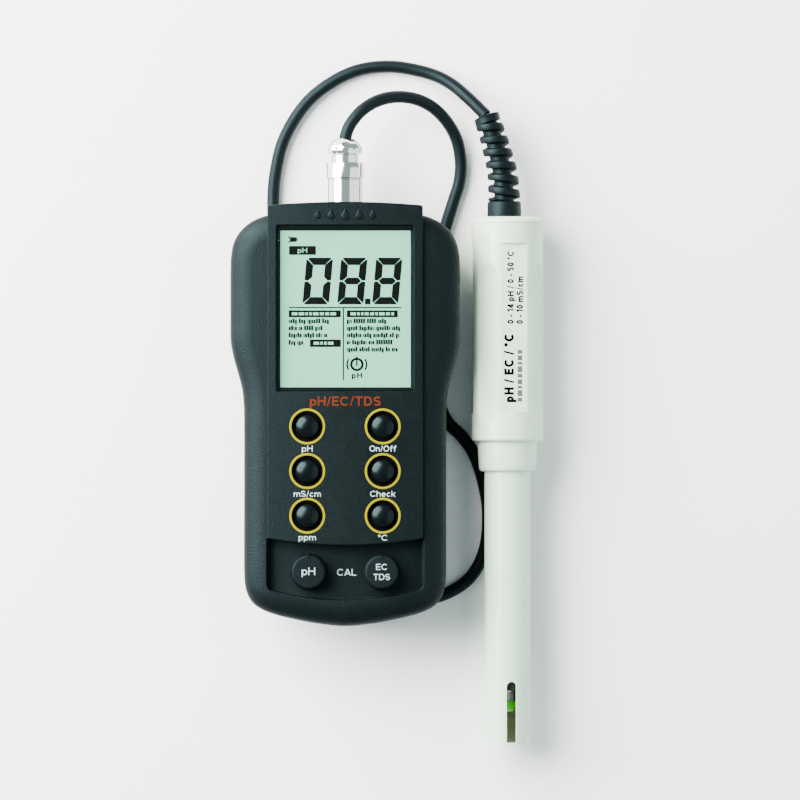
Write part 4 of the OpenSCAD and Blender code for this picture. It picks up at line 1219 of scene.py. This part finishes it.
# sensor pieces in the guard
stem = lathe("inner_glass", [(2.0, 0), (2.0, 2.2), (-86, 2.36), (-89.6, 2.36), (-90.1, 2.2), (-90.1, 0)], "Y", (PX, 0, PZC), 64)
finish_piece(stem, "meter", MAT["glass_clear"], ["glass_stem"])
bulb_prof = [(-90.12, 0), (-90.12, 3.1), (-90.3, 3.36), (-91.2, 3.4), (-91.9, 3.38)] + [(-92.0 - 2.1 * math.sin(math.radians(a)), 3.36 * math.cos(math.radians(a))) for a in range(5, 90, 8)] + [(-94.1, 0)]
bulb = lathe("glass_bulb", bulb_prof, "Y", (PX, 0, PZC), 72, angle=50)
finish_piece(bulb, "meter", MAT["bulb_green"], ["ph_bulb"])

# ---------------------------------------------------------------- every CAD node that stays gets its finish
slots = {s["node"]: s["material_slot"] for s in frame["record"]["subparts"]}
for node, ob in frame["nodes"].items():
    m = MAT[slots[node]]
    if ob.material_slots:
        for i in range(len(ob.material_slots)):
            ob.material_slots[i].material = m
    else:
        ob.data.materials.append(m)

# ---------------------------------------------------------------- stage
floor_mat, fnt, fb = principled("m_floor", (0.90, 0.905, 0.905), 0.8)
fb.inputs["Specular IOR Level"].default_value = 0.1
fnt.links.new(ramp(fnt, noise(fnt, coords(fnt), 3.0, 2.0), 0.78, 0.84), fb.inputs["Roughness"])
floor = new_mesh("floor", [(-1600, -1600, -0.05), (1600, -1600, -0.05), (1600, 1600, -0.05), (-1600, 1600, -0.05)], [(0, 1, 2, 3)])
floor.data.materials.append(floor_mat)

world = bpy.data.worlds.new("world")
bpy.context.scene.world = world
world.use_nodes = True
world.node_tree.nodes["Background"].inputs["Color"].default_value = (0.74, 0.96, 1.0, 1)
world.node_tree.nodes["Background"].inputs["Strength"].default_value = 0.62


def area(name, loc, target, size, power, color=(1, 1, 1), size_y=None):
    d = bpy.data.lights.new(name, "AREA")
    d.shape = "RECTANGLE"
    d.size = size
    d.size_y = size_y or size
    d.energy = power
    d.color = color
    o = bpy.data.objects.new(name, d)
    bpy.context.scene.collection.objects.link(o)
    o.location = loc
    o.rotation_euler = (Vector(target) - Vector(loc)).to_track_quat("-Z", "Y").to_euler()
    return o


area("key", (-0.65, 0.43, 0.56), (0.02, 0.01, 0.02), 1.0, 104.0, (1.0, 0.965, 0.955))
area("fill", (0.98, -0.14, 0.60), (0.05, 0.0, 0.02), 1.4, 12.0, (0.96, 1.0, 1.0))
